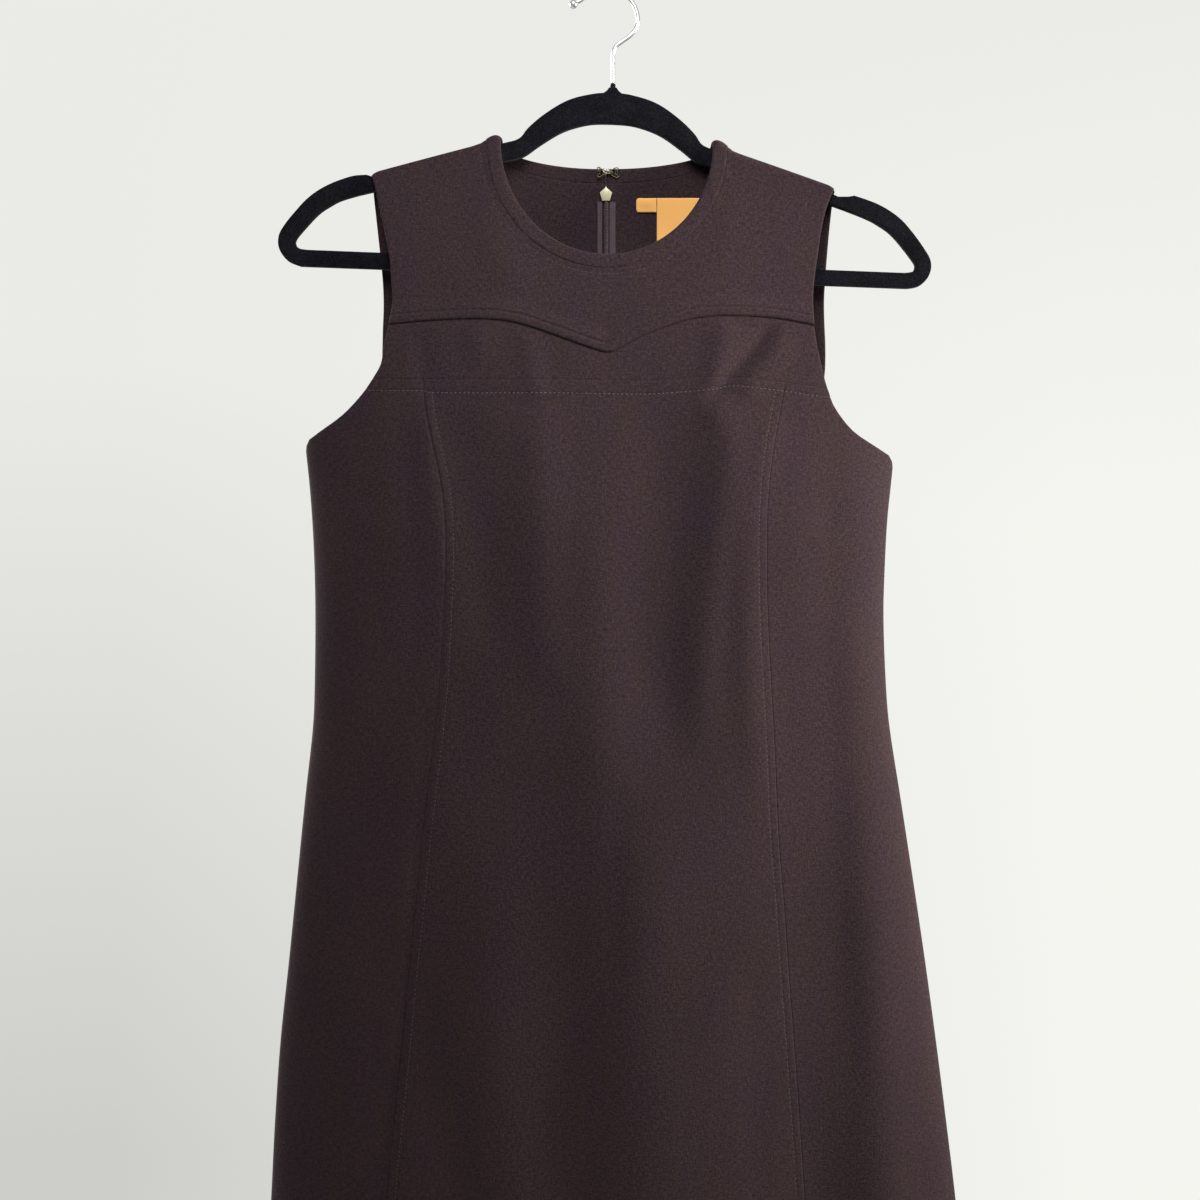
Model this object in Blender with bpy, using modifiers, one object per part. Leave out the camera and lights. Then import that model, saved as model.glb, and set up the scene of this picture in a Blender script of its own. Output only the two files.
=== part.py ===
"""Sheath dress hung on a slim velvet hanger: cut pieces, back zip and hanger at real size.

Frame: +Z up, metres, front of the dress toward -Y. The origin is the inside of the hook's crown,
where the rail carries it. "left" is the -X side and "right" the +X side, as seen from the front.
Sizes and tables are in millimetres, and "drop" is the distance straight down from the origin.
"""
import math

import bmesh
import bpy
from mathutils import Matrix, Vector

MM = 0.001
LEFT, RIGHT = -1, 1
FRONT, BACK = -1, 1

# ---------------------------------------------------------------- cloth
CLOTH = 1.5                  # wall of one layer of the wool cloth
BAND_CLOTH = 2.0             # the neck band is turned double
SEAM_GAP = 0.3               # between neighbouring pieces
HALF_GAP = SEAM_GAP / 2

# ---------------------------------------------------------------- hanger
FERRULE_X = 4.8              # foot of the hook's wire, beside the middle of its crown
FERRULE_DROP = 63.4
FERRULE_RADII = (2.7, 1.6)   # foot and tip of the ferrule
FERRULE_FOOT = 9.0           # it runs this far down into the crown of the arms
HANGER_TILT = math.radians(2.1)    # the hanger hangs lower on the right
HANGER_THICK = 5.5
WIRE_RADIUS = 1.4
WIRE_CLEAR = 0.4             # between the wire's foot and the ferrule
CROWN_RADIUS = 21.8          # round part of the hook, to the middle of its wire
CROWN_TURN = (-4.0, 136.0)   # degrees from +X that the round part covers
TIP_RADIUS = 2.9             # ball on the end of the hook

# ---------------------------------------------------------------- shoulders
SHOULDER_MIDDLE = 2.8        # the hanger's middle line at shoulder height
SHOULDER_START = 89.0        # along the arm, where the straight shoulder is measured
SHOULDER_DROP = 45.8         # inside of the cloth there, below the ferrule
SHOULDER_SLOPE = 0.278
SHOULDER_NECK = 75.0         # along the arm, where the shoulder line ends at the neck
SHOULDER_EASE = 6.0
SHOULDER_ROUND = 4.0         # radius of the cloth's fold over the arm
SHOULDER_FADE = (60.0, 180.0)      # below the shoulder, where that fold has run out
ARM_REST = 1.5               # under the fold, where the arm's top corners just touch the cloth
ROLL_AT = 75.7               # the band rolls up over the arm beside the neck
ROLL_HEIGHT = {LEFT: 3.4, RIGHT: 4.8}
ROLL_WIDTH = 5.0
ROLL_FALL = 2.0
ROLL_REACH = 4.7

# ---------------------------------------------------------------- neck
NECK_X = 0.5
NECK_HALF = 72.0
NECK_FOOT = {FRONT: 183.5, BACK: 120.0}      # drop of the neck edge at the centre
BAND_WIDTH = 9.5
BAND_NOTCH = 2.6             # half the notch between the back bands at the top
BAND_OPEN = 0.35             # from the band's seam line to the pieces below, which lean to it

# ---------------------------------------------------------------- yoke, armholes, hem
UNDERARM = {LEFT: 311.6, RIGHT: 322.5}       # drop of the underarm corners
ARMHOLE_DEPTH = 187.0
WELT_WIDTH = 6.5             # turned edge of the yoke, raised over the chest band
WELT_RISE = 0.8
WELT_STEP = 1.0
HEM = {LEFT: 1016.0, RIGHT: 1028.0}          # drop of the side seams' ends
SECTION_POWER = 2.4          # the section runs flat across and rounds off at the side seams
SECTION_ROUND = 0.62

# ---------------------------------------------------------------- zip, hook and eye, labels
BACK_SLIT = 1.1              # half the opening of the centre-back seam along the zip
ZIP_TOP = 141.8
ZIP_FOOT = 640.0
CHAIN_WIDTH = 3.7
CHAIN_THICK = 1.4
TAPE_WIDTH = 4.5
TAPE_THICK = 1.0
ZIP_CLEAR = 0.4              # between the zip and the inside of the cloth
SLIDER_DROP = 136.6          # middle of the slider
SLIDER_WIDTH = 8.4
SLIDER_HEIGHT = 9.0
SLIDER_THICK = 2.2
FACE_PLATE = (5.0, 1.2, 9.0)       # slider's outer plate: across, thick, tall
SLIDER_STEM = (1.3, 4.0)     # its stem through the slit: across, tall
BAIL_MIDDLE = 2.8            # radius of the bail, to the middle of its wire
BAIL_WIRE = 0.6              # radius of its wire
PULL_WIDTH = 5.0
PULL_THICK = 1.0
PULL_LENGTH = 21.0
PULL_BAR = 0.6               # half the crossbar that turns in the bail
PULL_EYE = (2.2, 3.6)        # width and length of the eye under that bar
HINGE_OUT = 1.15             # the pull's hinge line, off the outer plate
WIRE_EYE = 0.45              # radius of the hook-and-eye wire
EYE_CLEAR = 0.4
HOOK_OVER = 1.3              # the hook lies over the eye
LABEL_LEFT = 35.0
LABEL_TOP = 139.4
LABEL_SIZE = (34.0, 37.0)
TAB_SIZE = (13.9, 9.4)
LABEL_THICK = 1.0
LABEL_CLEAR = 0.6

# ---------------------------------------------------------------- tables
# side seams: drop, left, right (distance out from the origin, over the cloth)
SIDE_SEAMS = (
    (312, 205.0, 197.0), (335, 202.5, 194.6), (360, 200.5, 192.0), (390, 199.0, 190.3),
    (425, 198.3, 189.3), (470, 198.7, 190.8), (500, 199.8, 193.2), (550, 205.2, 200.9),
    (606, 210.8, 209.5), (660, 216.2, 217.5), (715, 222.0, 225.0), (770, 225.8, 232.0),
    (824, 228.5, 238.5), (925, 234.0, 249.0), (1028, 239.0, 258.0),
)
# fullness: down from the shoulder line, front, back (how far the cloth stands off the side seams)
FULLNESS = (
    (0, 0.0, 0.0), (25, 5.0, 4.0), (50, 10.5, 8.0), (85, 18.5, 12.5), (120, 26.5, 17.0),
    (165, 35.5, 22.0), (215, 42.0, 26.0), (260, 45.0, 27.0), (315, 45.0, 24.0), (370, 44.0, 26.0),
    (450, 43.0, 31.0), (560, 43.0, 33.0), (700, 44.5, 34.0), (930, 47.5, 37.0),
)
# armhole edges: down from the tip, front left, front right, back left, back right
ARMHOLE = (
    (0, 160.0, 156.5, 160.0, 156.5), (15, 156.0, 150.0, 159.0, 154.5),
    (30, 152.5, 146.0, 157.5, 153.0), (45, 149.0, 143.5, 156.0, 151.8),
    (60, 146.0, 141.0, 154.5, 150.8), (75, 144.5, 139.3, 153.3, 150.0),
    (90, 143.3, 139.3, 153.0, 150.3), (105, 145.5, 140.5, 153.6, 151.0),
    (120, 148.8, 143.5, 154.0, 151.0), (133, 151.0, 146.5, 154.5, 150.0),
    (141, 155.4, 149.0, 157.0, 150.5), (150, 161.4, 152.4, 161.0, 152.4),
    (160, 170.2, 159.4, 169.0, 157.4), (168, 179.2, 167.4, 178.0, 165.9),
    (175, 190.0, 179.0, 188.5, 177.0), (182, 201.0, 191.6, 199.5, 190.0),
)
# lower edge of the yoke: x, drop
YOKE_EDGE = (
    (-146.0, 230.7),
    (-120.0, 228.8),
    (-95.0, 228.0),
    (-75.0, 228.6),
    (-57.0, 231.8),
    (-33.0, 240.0),
    (-11.5, 247.8),
    (1.9, 251.0),
    (13.3, 245.6),
    (30.0, 237.2),
    (51.0, 229.7),
    (67.0, 226.7),
    (82.0, 225.8),
    (113.0, 227.0),
    (141.0, 231.4),
)
YOKE_POINT = 1.9
YOKE_CORNER = {LEFT: 230.7, RIGHT: 231.4}    # drop of that edge at the armholes
CHEST_OPEN = 0.35            # from the chest seam's line to the panels below it
BAND_END = {LEFT: 158.0, RIGHT: 149.0}       # the chest seam meets the armholes here
PRINCESS_OPEN = 0.28         # from a princess seam's line to the panels beside it
# straight seam under the chest band: x, drop
CHEST_SEAM = (
    (-158.0, 267.0),
    (-90.0, 268.8),
    (-33.0, 269.2),
    (25.0, 269.8),
    (62.0, 267.6),
    (95.0, 267.8),
    (150.0, 273.8),
)
# princess seams: drop, left, right
PRINCESS = (
    (268, 122.0, 120.0),
    (290, 119.5, 115.5),
    (313, 115.0, 111.0),
    (335, 110.0, 108.0),
    (360, 107.0, 106.3),
    (390, 106.2, 106.0),
    (425, 107.5, 106.7),
    (470, 110.0, 109.0),
    (515, 114.5, 111.5),
    (570, 121.0, 114.0),
    (620, 126.0, 118.0),
    (670, 131.3, 121.5),
    (715, 135.5, 125.0),
    (811, 145.0, 131.5),
    (1028, 160.0, 144.0),
)
# largest folds: face, x and drop at the top, x and drop at the bottom, half width,
# height (+ ridge, - trough)
FOLDS = (
    (FRONT, -8.0, 330, -4.0, 600, 16.0, 2.8), (FRONT, 38.0, 245, 42.0, 555, 23.0, -5.0),
    (FRONT, 14.0, 430, 26.0, 1028, 34.0, 6.0), (FRONT, 136.0, 300, 140.0, 1028, 25.0, -6.6),
    (FRONT, 174.0, 500, 198.0, 1028, 15.0, 4.2), (FRONT, -88.0, 480, -48.0, 1028, 20.0, 2.3),
    (FRONT, -30.0, 540, -22.0, 1028, 22.0, -2.0), (FRONT, -146.0, 600, -160.0, 1028, 14.0, -1.4),
    (BACK, 52.0, 520, 66.0, 1028, 26.0, 3.2), (BACK, 110.0, 470, 132.0, 1028, 24.0, -2.6),
    (BACK, -48.0, 500, -60.0, 1028, 28.0, 3.0), (BACK, -112.0, 540, -134.0, 1028, 24.0, -2.4),
)
FOLD_RUN = 3.0               # a fold comes up over a third of its length
# crown of the hanger's arms: along, top edge, lower edge (from the ferrule tip)
ARM_CROWN = (
    (0.0, 2.8, 27.5),
    (2.6, 3.2, 27.5),
    (4.0, 5.2, 27.6),
    (6.2, 6.9, 27.7),
    (13.0, 7.8, 28.1),
    (25.0, 10.8, 31.0),
    (35.5, 15.6, 35.5),
    (48.0, 24.5, 43.8),
    (57.0, 33.0, 50.7),
    (62.5, 40.0, 53.4),
    (73.0, 43.6, 56.0),
)
# shoulder stretch of the arms, whose top edge follows the cloth: along, lower edge
ARM_SHOULDER = (
    (89.0, 60.2),
    (112.0, 66.6),
    (135.0, 72.5),
)
# strap notch in the top edge of each arm: along, down
STRAP_NOTCH = {
    LEFT: ((155.0, 65.6), (158.0, 69.0), (161.5, 69.6)),
    RIGHT: ((149.0, 64.0), (152.0, 70.0), (156.0, 71.7), (163.0, 71.4)),
}
# ends of the hanger, from that notch round to the underside of its bar: along, down
HANGER_END = {
    LEFT: ((165.4, 68.6), (173.5, 69.4), (181.6, 72.0), (189.7, 75.5), (197.7, 80.1),
           (205.7, 86.7), (213.5, 95.8), (219.8, 104.3), (223.4, 111.2), (223.8, 118.1),
           (221.4, 124.0), (216.4, 129.2), (208.0, 132.2)),
    RIGHT: ((167.0, 70.6), (175.3, 73.0), (183.6, 76.0), (192.0, 80.4), (200.4, 86.6),
            (208.9, 95.9), (216.1, 105.4), (220.1, 112.0), (220.9, 118.8), (218.2, 125.7),
            (212.5, 130.6), (205.0, 132.2)),
}
# ends of the window, from the shoulder stretch round to the top of the bar: along, down
WINDOW_END = {
    LEFT: ((164.9, 80.8), (181.1, 86.0), (189.2, 90.4), (197.1, 96.2), (205.0, 105.1),
           (211.4, 113.4), (212.0, 117.4), (209.0, 120.4), (203.0, 121.1)),
    RIGHT: ((159.2, 80.0), (175.8, 85.9), (184.1, 90.0), (192.5, 95.6), (201.0, 104.5),
            (208.8, 114.2), (210.0, 117.6), (208.4, 120.8), (203.0, 121.9)),
}
# hook's wire from the ferrule up to its round crown: x, drop
HOOK_STEM = (
    (4.8, 55.0),
    (4.8, 47.0),
    (5.0, 42.0),
    (6.6, 38.2),
    (10.6, 34.9),
    (15.6, 31.3),
    (18.4, 28.6),
    (20.4, 25.6),
)
# free end of the wire, flared out past the crown: x, drop
HOOK_FLARE = (
    (-17.5, 6.7),
    (-19.4, 7.7),
)
# wire of the eye, and of the hook: x, down from the top of the band, as seen from the front
EYE_PATH = (
    (6.3, 3.4), (7.6, 2.2), (8.4, 0.9), (7.3, 0.2), (5.6, 0.9), (3.6, 2.2),
    (2.6, 3.5), (3.6, 4.8), (5.6, 6.1), (7.3, 6.8), (8.4, 6.1), (7.6, 4.9), (6.3, 4.1),
)
HOOK_PATH = (
    (-3.9, 3.3), (-5.2, 2.2), (-6.0, 0.9), (-4.9, 0.2), (-3.2, 1.3), (-0.6, 2.6),
    (3.2, 3.0), (4.4, 3.6), (3.2, 4.2), (-0.6, 4.6), (-3.2, 5.9), (-4.9, 6.8),
    (-6.0, 6.1), (-5.2, 4.9), (-3.9, 4.0),
)

# ---------------------------------------------------------------- grids
SHOULDER_STEPS = (0.0, 0.6, 1.8, 4.2, 10.0)  # columns beside the shoulder seam, down from it
ARM_COLUMNS = 5              # on from there, down the armhole
FOOT_COLUMNS = {FRONT: 12, BACK: 9}          # from the armhole to the centre
NECK_SHARE = {FRONT: 0.34, BACK: 0.5}        # of the neck seam, that faces the armhole
YOKE_ROWS = (0.78, 0.54, 0.3, 0.1, 0.0)      # share of the way out, above the raised edge
BACK_TOP_ROWS = (0.0, 0.07, 0.25, 0.5, 0.75, 1.0)    # from the neck seam outward
BAND_ROWS = 2
CHEST_ROWS = 3
SKIRT_ROWS = 14              # from the hem to the underarm
ARM_ROWS = (0.0, 0.1, 0.25, 0.45, 0.7, 1.0)  # from the underarm up
FRONT_ROWS = SKIRT_ROWS + len(ARM_ROWS) - 1
CENTRE_COLUMNS = 12
SIDE_COLUMNS = (0.0, 0.2, 0.4, 0.59, 0.75, 0.87, 0.95, 1.0)
CURVE_STEPS = 4              # points between two rows of a curved outline

# ---------------------------------------------------------------- colours
# finish: base colour, roughness, metallic
FINISHES = {
    "wool": ((0.055, 0.034, 0.037), 0.85, 0.0),
    "zip_textile": ((0.095, 0.066, 0.074), 0.7, 0.0),
    "label_weave": ((0.92, 0.46, 0.13), 0.75, 0.0),
    "flock": ((0.012, 0.012, 0.016), 0.95, 0.0),
    "chrome": ((0.78, 0.79, 0.80), 0.12, 1.0),
    "cream_enamel": ((0.80, 0.74, 0.48), 0.35, 0.0),
    "brass": ((0.42, 0.33, 0.16), 0.35, 1.0),
}


# ---------------------------------------------------------------- reading the tables
def mix(a, b, t):
    return a + (b - a) * t


def ease(t):
    t = min(max(t, 0.0), 1.0)
    return t * t * (3 - 2 * t)


def read(table, at, column=1):
    """Value of a column at a place, on a smooth curve through the table's rows."""
    last = len(table) - 1
    if at <= table[0][0]:
        return table[0][column]
    if at >= table[last][0]:
        return table[last][column]
    i = max(k for k in range(last) if table[k][0] <= at)
    slope = []
    for k in (i, i + 1):
        low, high = table[max(k - 1, 0)], table[min(k + 1, last)]
        slope.append((high[column] - low[column]) / (high[0] - low[0]))
    span = table[i + 1][0] - table[i][0]
    t = (at - table[i][0]) / span
    start, end = table[i][column], table[i + 1][column]
    return ((1 + 2 * t) * (1 - t) ** 2 * start + t * (1 - t) ** 2 * span * slope[0]
            + t * t * (3 - 2 * t) * end - t * t * (1 - t) * span * slope[1])


def smooth_path(points, steps=CURVE_STEPS):
    """Points along a smooth curve through an outline's own points."""
    path = []
    for i in range(len(points) - 1):
        a = points[max(i - 1, 0)]
        b, c = points[i], points[i + 1]
        d = points[min(i + 2, len(points) - 1)]
        for k in range(steps):
            t = k / steps
            path.append(tuple(
                0.5 * (2 * q + (r - p) * t + (2 * p - 5 * q + 4 * r - s) * t * t
                       + (3 * q - p - 3 * r + s) * t ** 3)
                for p, q, r, s in zip(a, b, c, d)))
    return path + [points[-1]]


def side_of(x):
    return LEFT if x < 0 else RIGHT


def by_side(side):
    """Column of a drop, left, right table."""
    return 1 if side == LEFT else 2


# ---------------------------------------------------------------- the hung form
def hanger_point(along, down):
    """World x and z of a place on the hanger, given along its bar and down from the ferrule."""
    cos, sin = math.cos(HANGER_TILT), math.sin(HANGER_TILT)
    return (FERRULE_X + along * cos - down * sin, -FERRULE_DROP - along * sin - down * cos)


def shoulder_down(along):
    """Inside of the cloth's ridge, down from the ferrule; level across the neck opening."""
    past = abs(along) - SHOULDER_NECK
    past = (past + math.hypot(past, SHOULDER_EASE)) / 2
    return SHOULDER_DROP + SHOULDER_SLOPE * (SHOULDER_NECK + past - SHOULDER_START)


def shoulder_line(x):
    along = x - SHOULDER_MIDDLE
    return (FERRULE_DROP + shoulder_down(along) * math.cos(HANGER_TILT)
            + along * math.sin(HANGER_TILT))


def ridge(x):
    """Drop of the cloth's top, with the band's roll at the neck."""
    off = abs(x) - ROLL_AT
    roll = ROLL_HEIGHT[side_of(x)] * math.exp(-0.5 * (off / ROLL_WIDTH) ** 2)
    fall = ROLL_FALL * (min(max(-off, 0.0), ROLL_REACH) / ROLL_REACH) ** 2
    return shoulder_line(x) - roll + fall


def tip_drop(side):
    return ridge(side * ARMHOLE[0][by_side(side)])


def half_width(side, drop):
    """Side seam's distance out, at the inside of the cloth."""
    return read(SIDE_SEAMS, drop, by_side(side)) - CLOTH


def edge_out(face, side, drop):
    """Distance out of the armhole edge, and below it of the side seam."""
    if drop >= UNDERARM[side]:
        return half_width(side, drop)
    top = tip_drop(side)
    down = ARMHOLE_DEPTH * (drop - top) / (UNDERARM[side] - top)
    column = by_side(side) + (2 if face == BACK else 0)
    last = ARMHOLE[-1]
    if down <= last[0]:
        return read(ARMHOLE, down, column)
    corner = half_width(side, UNDERARM[side])
    return mix(last[column], corner, (down - last[0]) / (ARMHOLE_DEPTH - last[0]))


def fold_lift(face, x, drop):
    """Largest folds: soft ridges and troughs, each along its own line."""
    lift = 0.0
    for fold_face, x_top, top, x_low, low, half, height in FOLDS:
        if fold_face != face or not top < drop < low:
            continue
        t = (drop - top) / (low - top)
        run = ease(t * FOLD_RUN)
        if low < HEM[LEFT]:
            run *= ease((1 - t) * FOLD_RUN)
        lift += height * run * math.exp(-0.5 * ((x - mix(x_top, x_low, t)) / half) ** 2)
    return lift


def stand_off(face, x, drop):
    """How far the inside of the cloth stands ahead of, or behind, the side seams."""
    over_arm = SHOULDER_ROUND
    under = max(drop - ridge(x), 0.0)
    if under < SHOULDER_ROUND:
        over_arm = math.sqrt(SHOULDER_ROUND ** 2 - (SHOULDER_ROUND - under) ** 2)
    fade_start, fade_end = SHOULDER_FADE
    down = max(drop - shoulder_line(x), 0.0)
    over_arm *= 1 - ease((down - fade_start) / (fade_end - fade_start))
    across = min(abs(x) / half_width(side_of(x), drop), 1.0)
    section = (1 - across ** SECTION_POWER) ** SECTION_ROUND
    full = read(FULLNESS, down, 1 if face == FRONT else 2)
    return over_arm + (full + fold_lift(face, x, drop)) * section


def cloth_point(face, x, drop, lift=0.0):
    """Point on the inside of the cloth, in metres, moved out by lift."""
    y = face * (HALF_GAP + stand_off(face, x, drop) + lift)
    return Vector((x, y, -drop)) * MM


# ---------------------------------------------------------------- scene and materials
def clear_scene():
    for thing in list(bpy.data.objects):
        bpy.data.objects.remove(thing, do_unlink=True)


def new_collection(name):
    collection = bpy.data.collections.new(name)
    bpy.context.scene.collection.children.link(collection)
    return collection


def finish(slot):
    material = bpy.data.materials.get(slot)
    if material is None:
        colour, roughness, metallic = FINISHES[slot]
        material = bpy.data.materials.new(slot)
        material.use_nodes = True
        shader = material.node_tree.nodes["Principled BSDF"]
        shader.inputs["Base Color"].default_value = (*colour, 1.0)
        shader.inputs["Roughness"].default_value = roughness
        shader.inputs["Metallic"].default_value = metallic
    return material


def add_object(name, data, slot, collection):
    thing = bpy.data.objects.new(name, data)
    if not data.materials:
        data.materials.append(finish(slot))
    collection.objects.link(thing)
    return thing


# ---------------------------------------------------------------- cloth walls
def cloth_panel(name, patches, wall=CLOTH, slot="wool"):
    """Grids laid on the form, welded where they meet, with their wall built outward.

    Each patch is (columns, rows, place), where place(column, row) gives the point, and its
    columns crossed with its rows point away from the body.
    """
    mesh = bpy.data.meshes.new(name)
    bm = bmesh.new()
    for across, tall, place in patches:
        grid = bmesh.ops.create_grid(bm, x_segments=across, y_segments=tall, size=1.0)
        for vertex in grid["verts"]:
            column = round((vertex.co.x + 1) / 2 * across)
            row = round((vertex.co.y + 1) / 2 * tall)
            vertex.co = place(column, row)
    bmesh.ops.remove_doubles(bm, verts=bm.verts, dist=1e-6)
    bm.to_mesh(mesh)
    bm.free()
    mesh.shade_smooth()
    panel = add_object(name, mesh, slot, dress)
    solid = panel.modifiers.new("wall", "SOLIDIFY")
    solid.thickness = wall * MM
    solid.offset = 1.0
    return panel


def neck_curve(face, side, offset, share):
    """Place on the neck edge moved out by offset: share 0 at the shoulder, 1 at the centre."""
    angle = share * math.pi / 2
    half = NECK_HALF + offset
    x = NECK_X + side * half * math.cos(angle)
    top = ridge(NECK_X + side * half)
    return x, mix(top, NECK_FOOT[face] + offset, math.sin(angle))


def shoulder_share(face, side, offset, step):
    """Share of the neck curve that lies a step below the shoulder."""
    top = ridge(NECK_X + side * (NECK_HALF + offset))
    return math.asin(step / (NECK_FOOT[face] + offset - top)) * 2 / math.pi


def across_shoulder(inner, outer, t):
    """Place between two seams, level with the ridge near it and straight further down."""
    x = mix(inner[0], outer[0], t)
    bend = ridge(x) - mix(ridge(inner[0]), ridge(outer[0]), t)
    depth = min(inner[1] - ridge(inner[0]), outer[1] - ridge(outer[0]))
    return x, mix(inner[1], outer[1], t) + bend * (1 - ease(depth / SHOULDER_STEPS[-1]))


def foot_line(face, side, x, t):
    """Drop of the lower edge of the yoke, or of the back's upper patch."""
    if face == FRONT:
        return read(YOKE_EDGE, x)
    return mix(YOKE_CORNER[side], (YOKE_CORNER[LEFT] + YOKE_CORNER[RIGHT]) / 2, t)


def neck_columns(face, side):
    """Columns from the shoulder to the centre: share of the neck seam, outer place, at foot."""
    corner = YOKE_CORNER[side]
    columns = []
    for step in SHOULDER_STEPS:
        drop = tip_drop(side) + step
        columns.append((shoulder_share(face, side, BAND_WIDTH + BAND_OPEN, step),
                        (side * edge_out(face, side, drop), drop), False))
    first_share, first_drop = columns[-1][0], columns[-1][1][1]
    for k in range(1, ARM_COLUMNS + 1):
        t = k / ARM_COLUMNS
        drop = mix(first_drop, corner, t)
        columns.append((mix(first_share, NECK_SHARE[face], t),
                        (side * edge_out(face, side, drop), drop), t == 1))
    corner_x = side * edge_out(face, side, corner)
    centre_x = YOKE_POINT if face == FRONT else 0.0
    for k in range(1, FOOT_COLUMNS[face] + 1):
        t = k / FOOT_COLUMNS[face]
        x = mix(corner_x, centre_x, t)
        columns.append((mix(NECK_SHARE[face], 1.0, t), (x, foot_line(face, side, x, t)), True))
    return columns


def round_neck(face):
    """Columns all round the neck, left shoulder to right shoulder, each with its side."""
    left = [(LEFT, *column) for column in neck_columns(face, LEFT)]
    right = [(RIGHT, *column) for column in neck_columns(face, RIGHT)]
    return left + right[-2::-1]


def front_yoke():
    """Yoke from the neck seam to the armholes and its pointed lower edge, which is raised."""
    columns = round_neck(FRONT)
    from_edge = (0.0, WELT_WIDTH - WELT_STEP, WELT_WIDTH)

    def place(column, row):
        side, share, outer, at_foot = columns[column]
        inner = neck_curve(FRONT, side, BAND_WIDTH + BAND_OPEN, share)
        if at_foot:
            outer = (outer[0], outer[1] - HALF_GAP)
        length = math.hypot(outer[0] - inner[0], outer[1] - inner[1])
        if row < len(from_edge):
            t = 1 - from_edge[row] / length
        else:
            t = (1 - WELT_WIDTH / length) * YOKE_ROWS[row - len(from_edge)]
        x, drop = across_shoulder(inner, outer, t)
        return cloth_point(FRONT, x, drop, WELT_RISE if at_foot and row < 2 else 0.0)

    tall = len(from_edge) + len(YOKE_ROWS) - 1
    cloth_panel("front_yoke", [(len(columns) - 1, tall, place)])


def front_neck_band():
    columns = round_neck(FRONT)

    def place(column, row):
        side, share = columns[column][:2]
        offset = (BAND_WIDTH - HALF_GAP) * (1 - row / BAND_ROWS)
        return cloth_point(FRONT, *neck_curve(FRONT, side, offset, share))

    cloth_panel("front_neck_band", [(len(columns) - 1, BAND_ROWS, place)], BAND_CLOTH)


def back_neck_band(side, name):
    """Half of the back band, from the shoulder to the notch over the zip."""
    shares = [column[0] for column in neck_columns(BACK, side)]
    if side == RIGHT:
        shares.reverse()

    def place(column, row):
        t = row / BAND_ROWS
        x, drop = neck_curve(BACK, side, (BAND_WIDTH - HALF_GAP) * t, shares[column])
        x = side * max(side * x, mix(BAND_NOTCH, BACK_SLIT, t))
        return cloth_point(BACK, x, drop)

    cloth_panel(name, [(len(shares) - 1, BAND_ROWS, place)], BAND_CLOTH)


# ---------------------------------------------------------------- chest band and skirt
def front_chest_band():
    """Band between the yoke's pointed edge and the straight seam."""
    top = [column[2] for column in round_neck(FRONT) if column[3]]
    corners = {LEFT: top[0], RIGHT: top[-1]}

    def end_x(side, t):
        seam_end = read(CHEST_SEAM, side * BAND_END[side]) - HALF_GAP
        drop = mix(seam_end, corners[side][1] + HALF_GAP, t)
        return side * edge_out(FRONT, side, drop)

    def place(column, row):
        t = row / CHEST_ROWS
        x_top, edge = top[column]
        share = (x_top - top[0][0]) / (top[-1][0] - top[0][0])
        x = mix(end_x(LEFT, t), end_x(RIGHT, t), share)
        drop = mix(read(CHEST_SEAM, x) - HALF_GAP, edge + HALF_GAP, t)
        return cloth_point(FRONT, x, drop)

    cloth_panel("front_chest_band", [(len(top) - 1, CHEST_ROWS, place)])


def skirt_row(x, row):
    """Drop of a row of the skirt at x, from the hem up to the underarm corners."""
    side, up = side_of(x), row / SKIRT_ROWS
    seam = mix(HEM[side], UNDERARM[side], up)
    centre = mix((HEM[LEFT] + HEM[RIGHT]) / 2, (UNDERARM[LEFT] + UNDERARM[RIGHT]) / 2, up)
    return mix(centre, seam, min(abs(x) / half_width(side, seam), 1.0))


def front_row(x, row):
    """Drop of a row of the front panels, from the hem up to the chest seam."""
    if row <= SKIRT_ROWS:
        return skirt_row(x, row)
    top = read(CHEST_SEAM, x) + CHEST_OPEN
    return mix(skirt_row(x, SKIRT_ROWS), top, ARM_ROWS[row - SKIRT_ROWS])


def princess_x(side, row, inset):
    """Where a row meets the princess seam."""
    x = side * PRINCESS[0][by_side(side)]
    for _ in range(3):
        x = side * (read(PRINCESS, front_row(x, row), by_side(side)) + inset)
    return x


def outer_x(side, row):
    """Where a row of the front meets the side seam or the armhole."""
    x = side * BAND_END[side]
    if row <= SKIRT_ROWS:
        return side * half_width(side, mix(HEM[side], UNDERARM[side], row / SKIRT_ROWS))
    for _ in range(6):
        x = side * edge_out(FRONT, side, front_row(x, row))
    return x


def front_panel(name, near, far, shares):
    """A panel of the front between two functions that give x along a row."""
    def place(column, row):
        x = mix(near(row), far(row), shares[column])
        return cloth_point(FRONT, x, front_row(x, row))

    cloth_panel(name, [(len(shares) - 1, FRONT_ROWS, place)])


def front_centre_panel():
    shares = [k / CENTRE_COLUMNS for k in range(CENTRE_COLUMNS + 1)]
    front_panel("front_centre_panel", lambda row: princess_x(LEFT, row, -PRINCESS_OPEN),
                lambda row: princess_x(RIGHT, row, -PRINCESS_OPEN), shares)


def front_side_panels():
    shares = [1 - share for share in reversed(SIDE_COLUMNS)]
    front_panel("front_side_panel_left", lambda row: outer_x(LEFT, row),
                lambda row: princess_x(LEFT, row, PRINCESS_OPEN), shares)
    front_panel("front_side_panel_right", lambda row: princess_x(RIGHT, row, PRINCESS_OPEN),
                lambda row: outer_x(RIGHT, row), SIDE_COLUMNS)


# ---------------------------------------------------------------- back
def slit(drop):
    """Half the opening of the centre-back seam, wider along the zip."""
    return mix(BACK_SLIT, HALF_GAP, ease((drop - ZIP_FOOT) / (ZIP_FOOT - ZIP_TOP) * 40))


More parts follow.
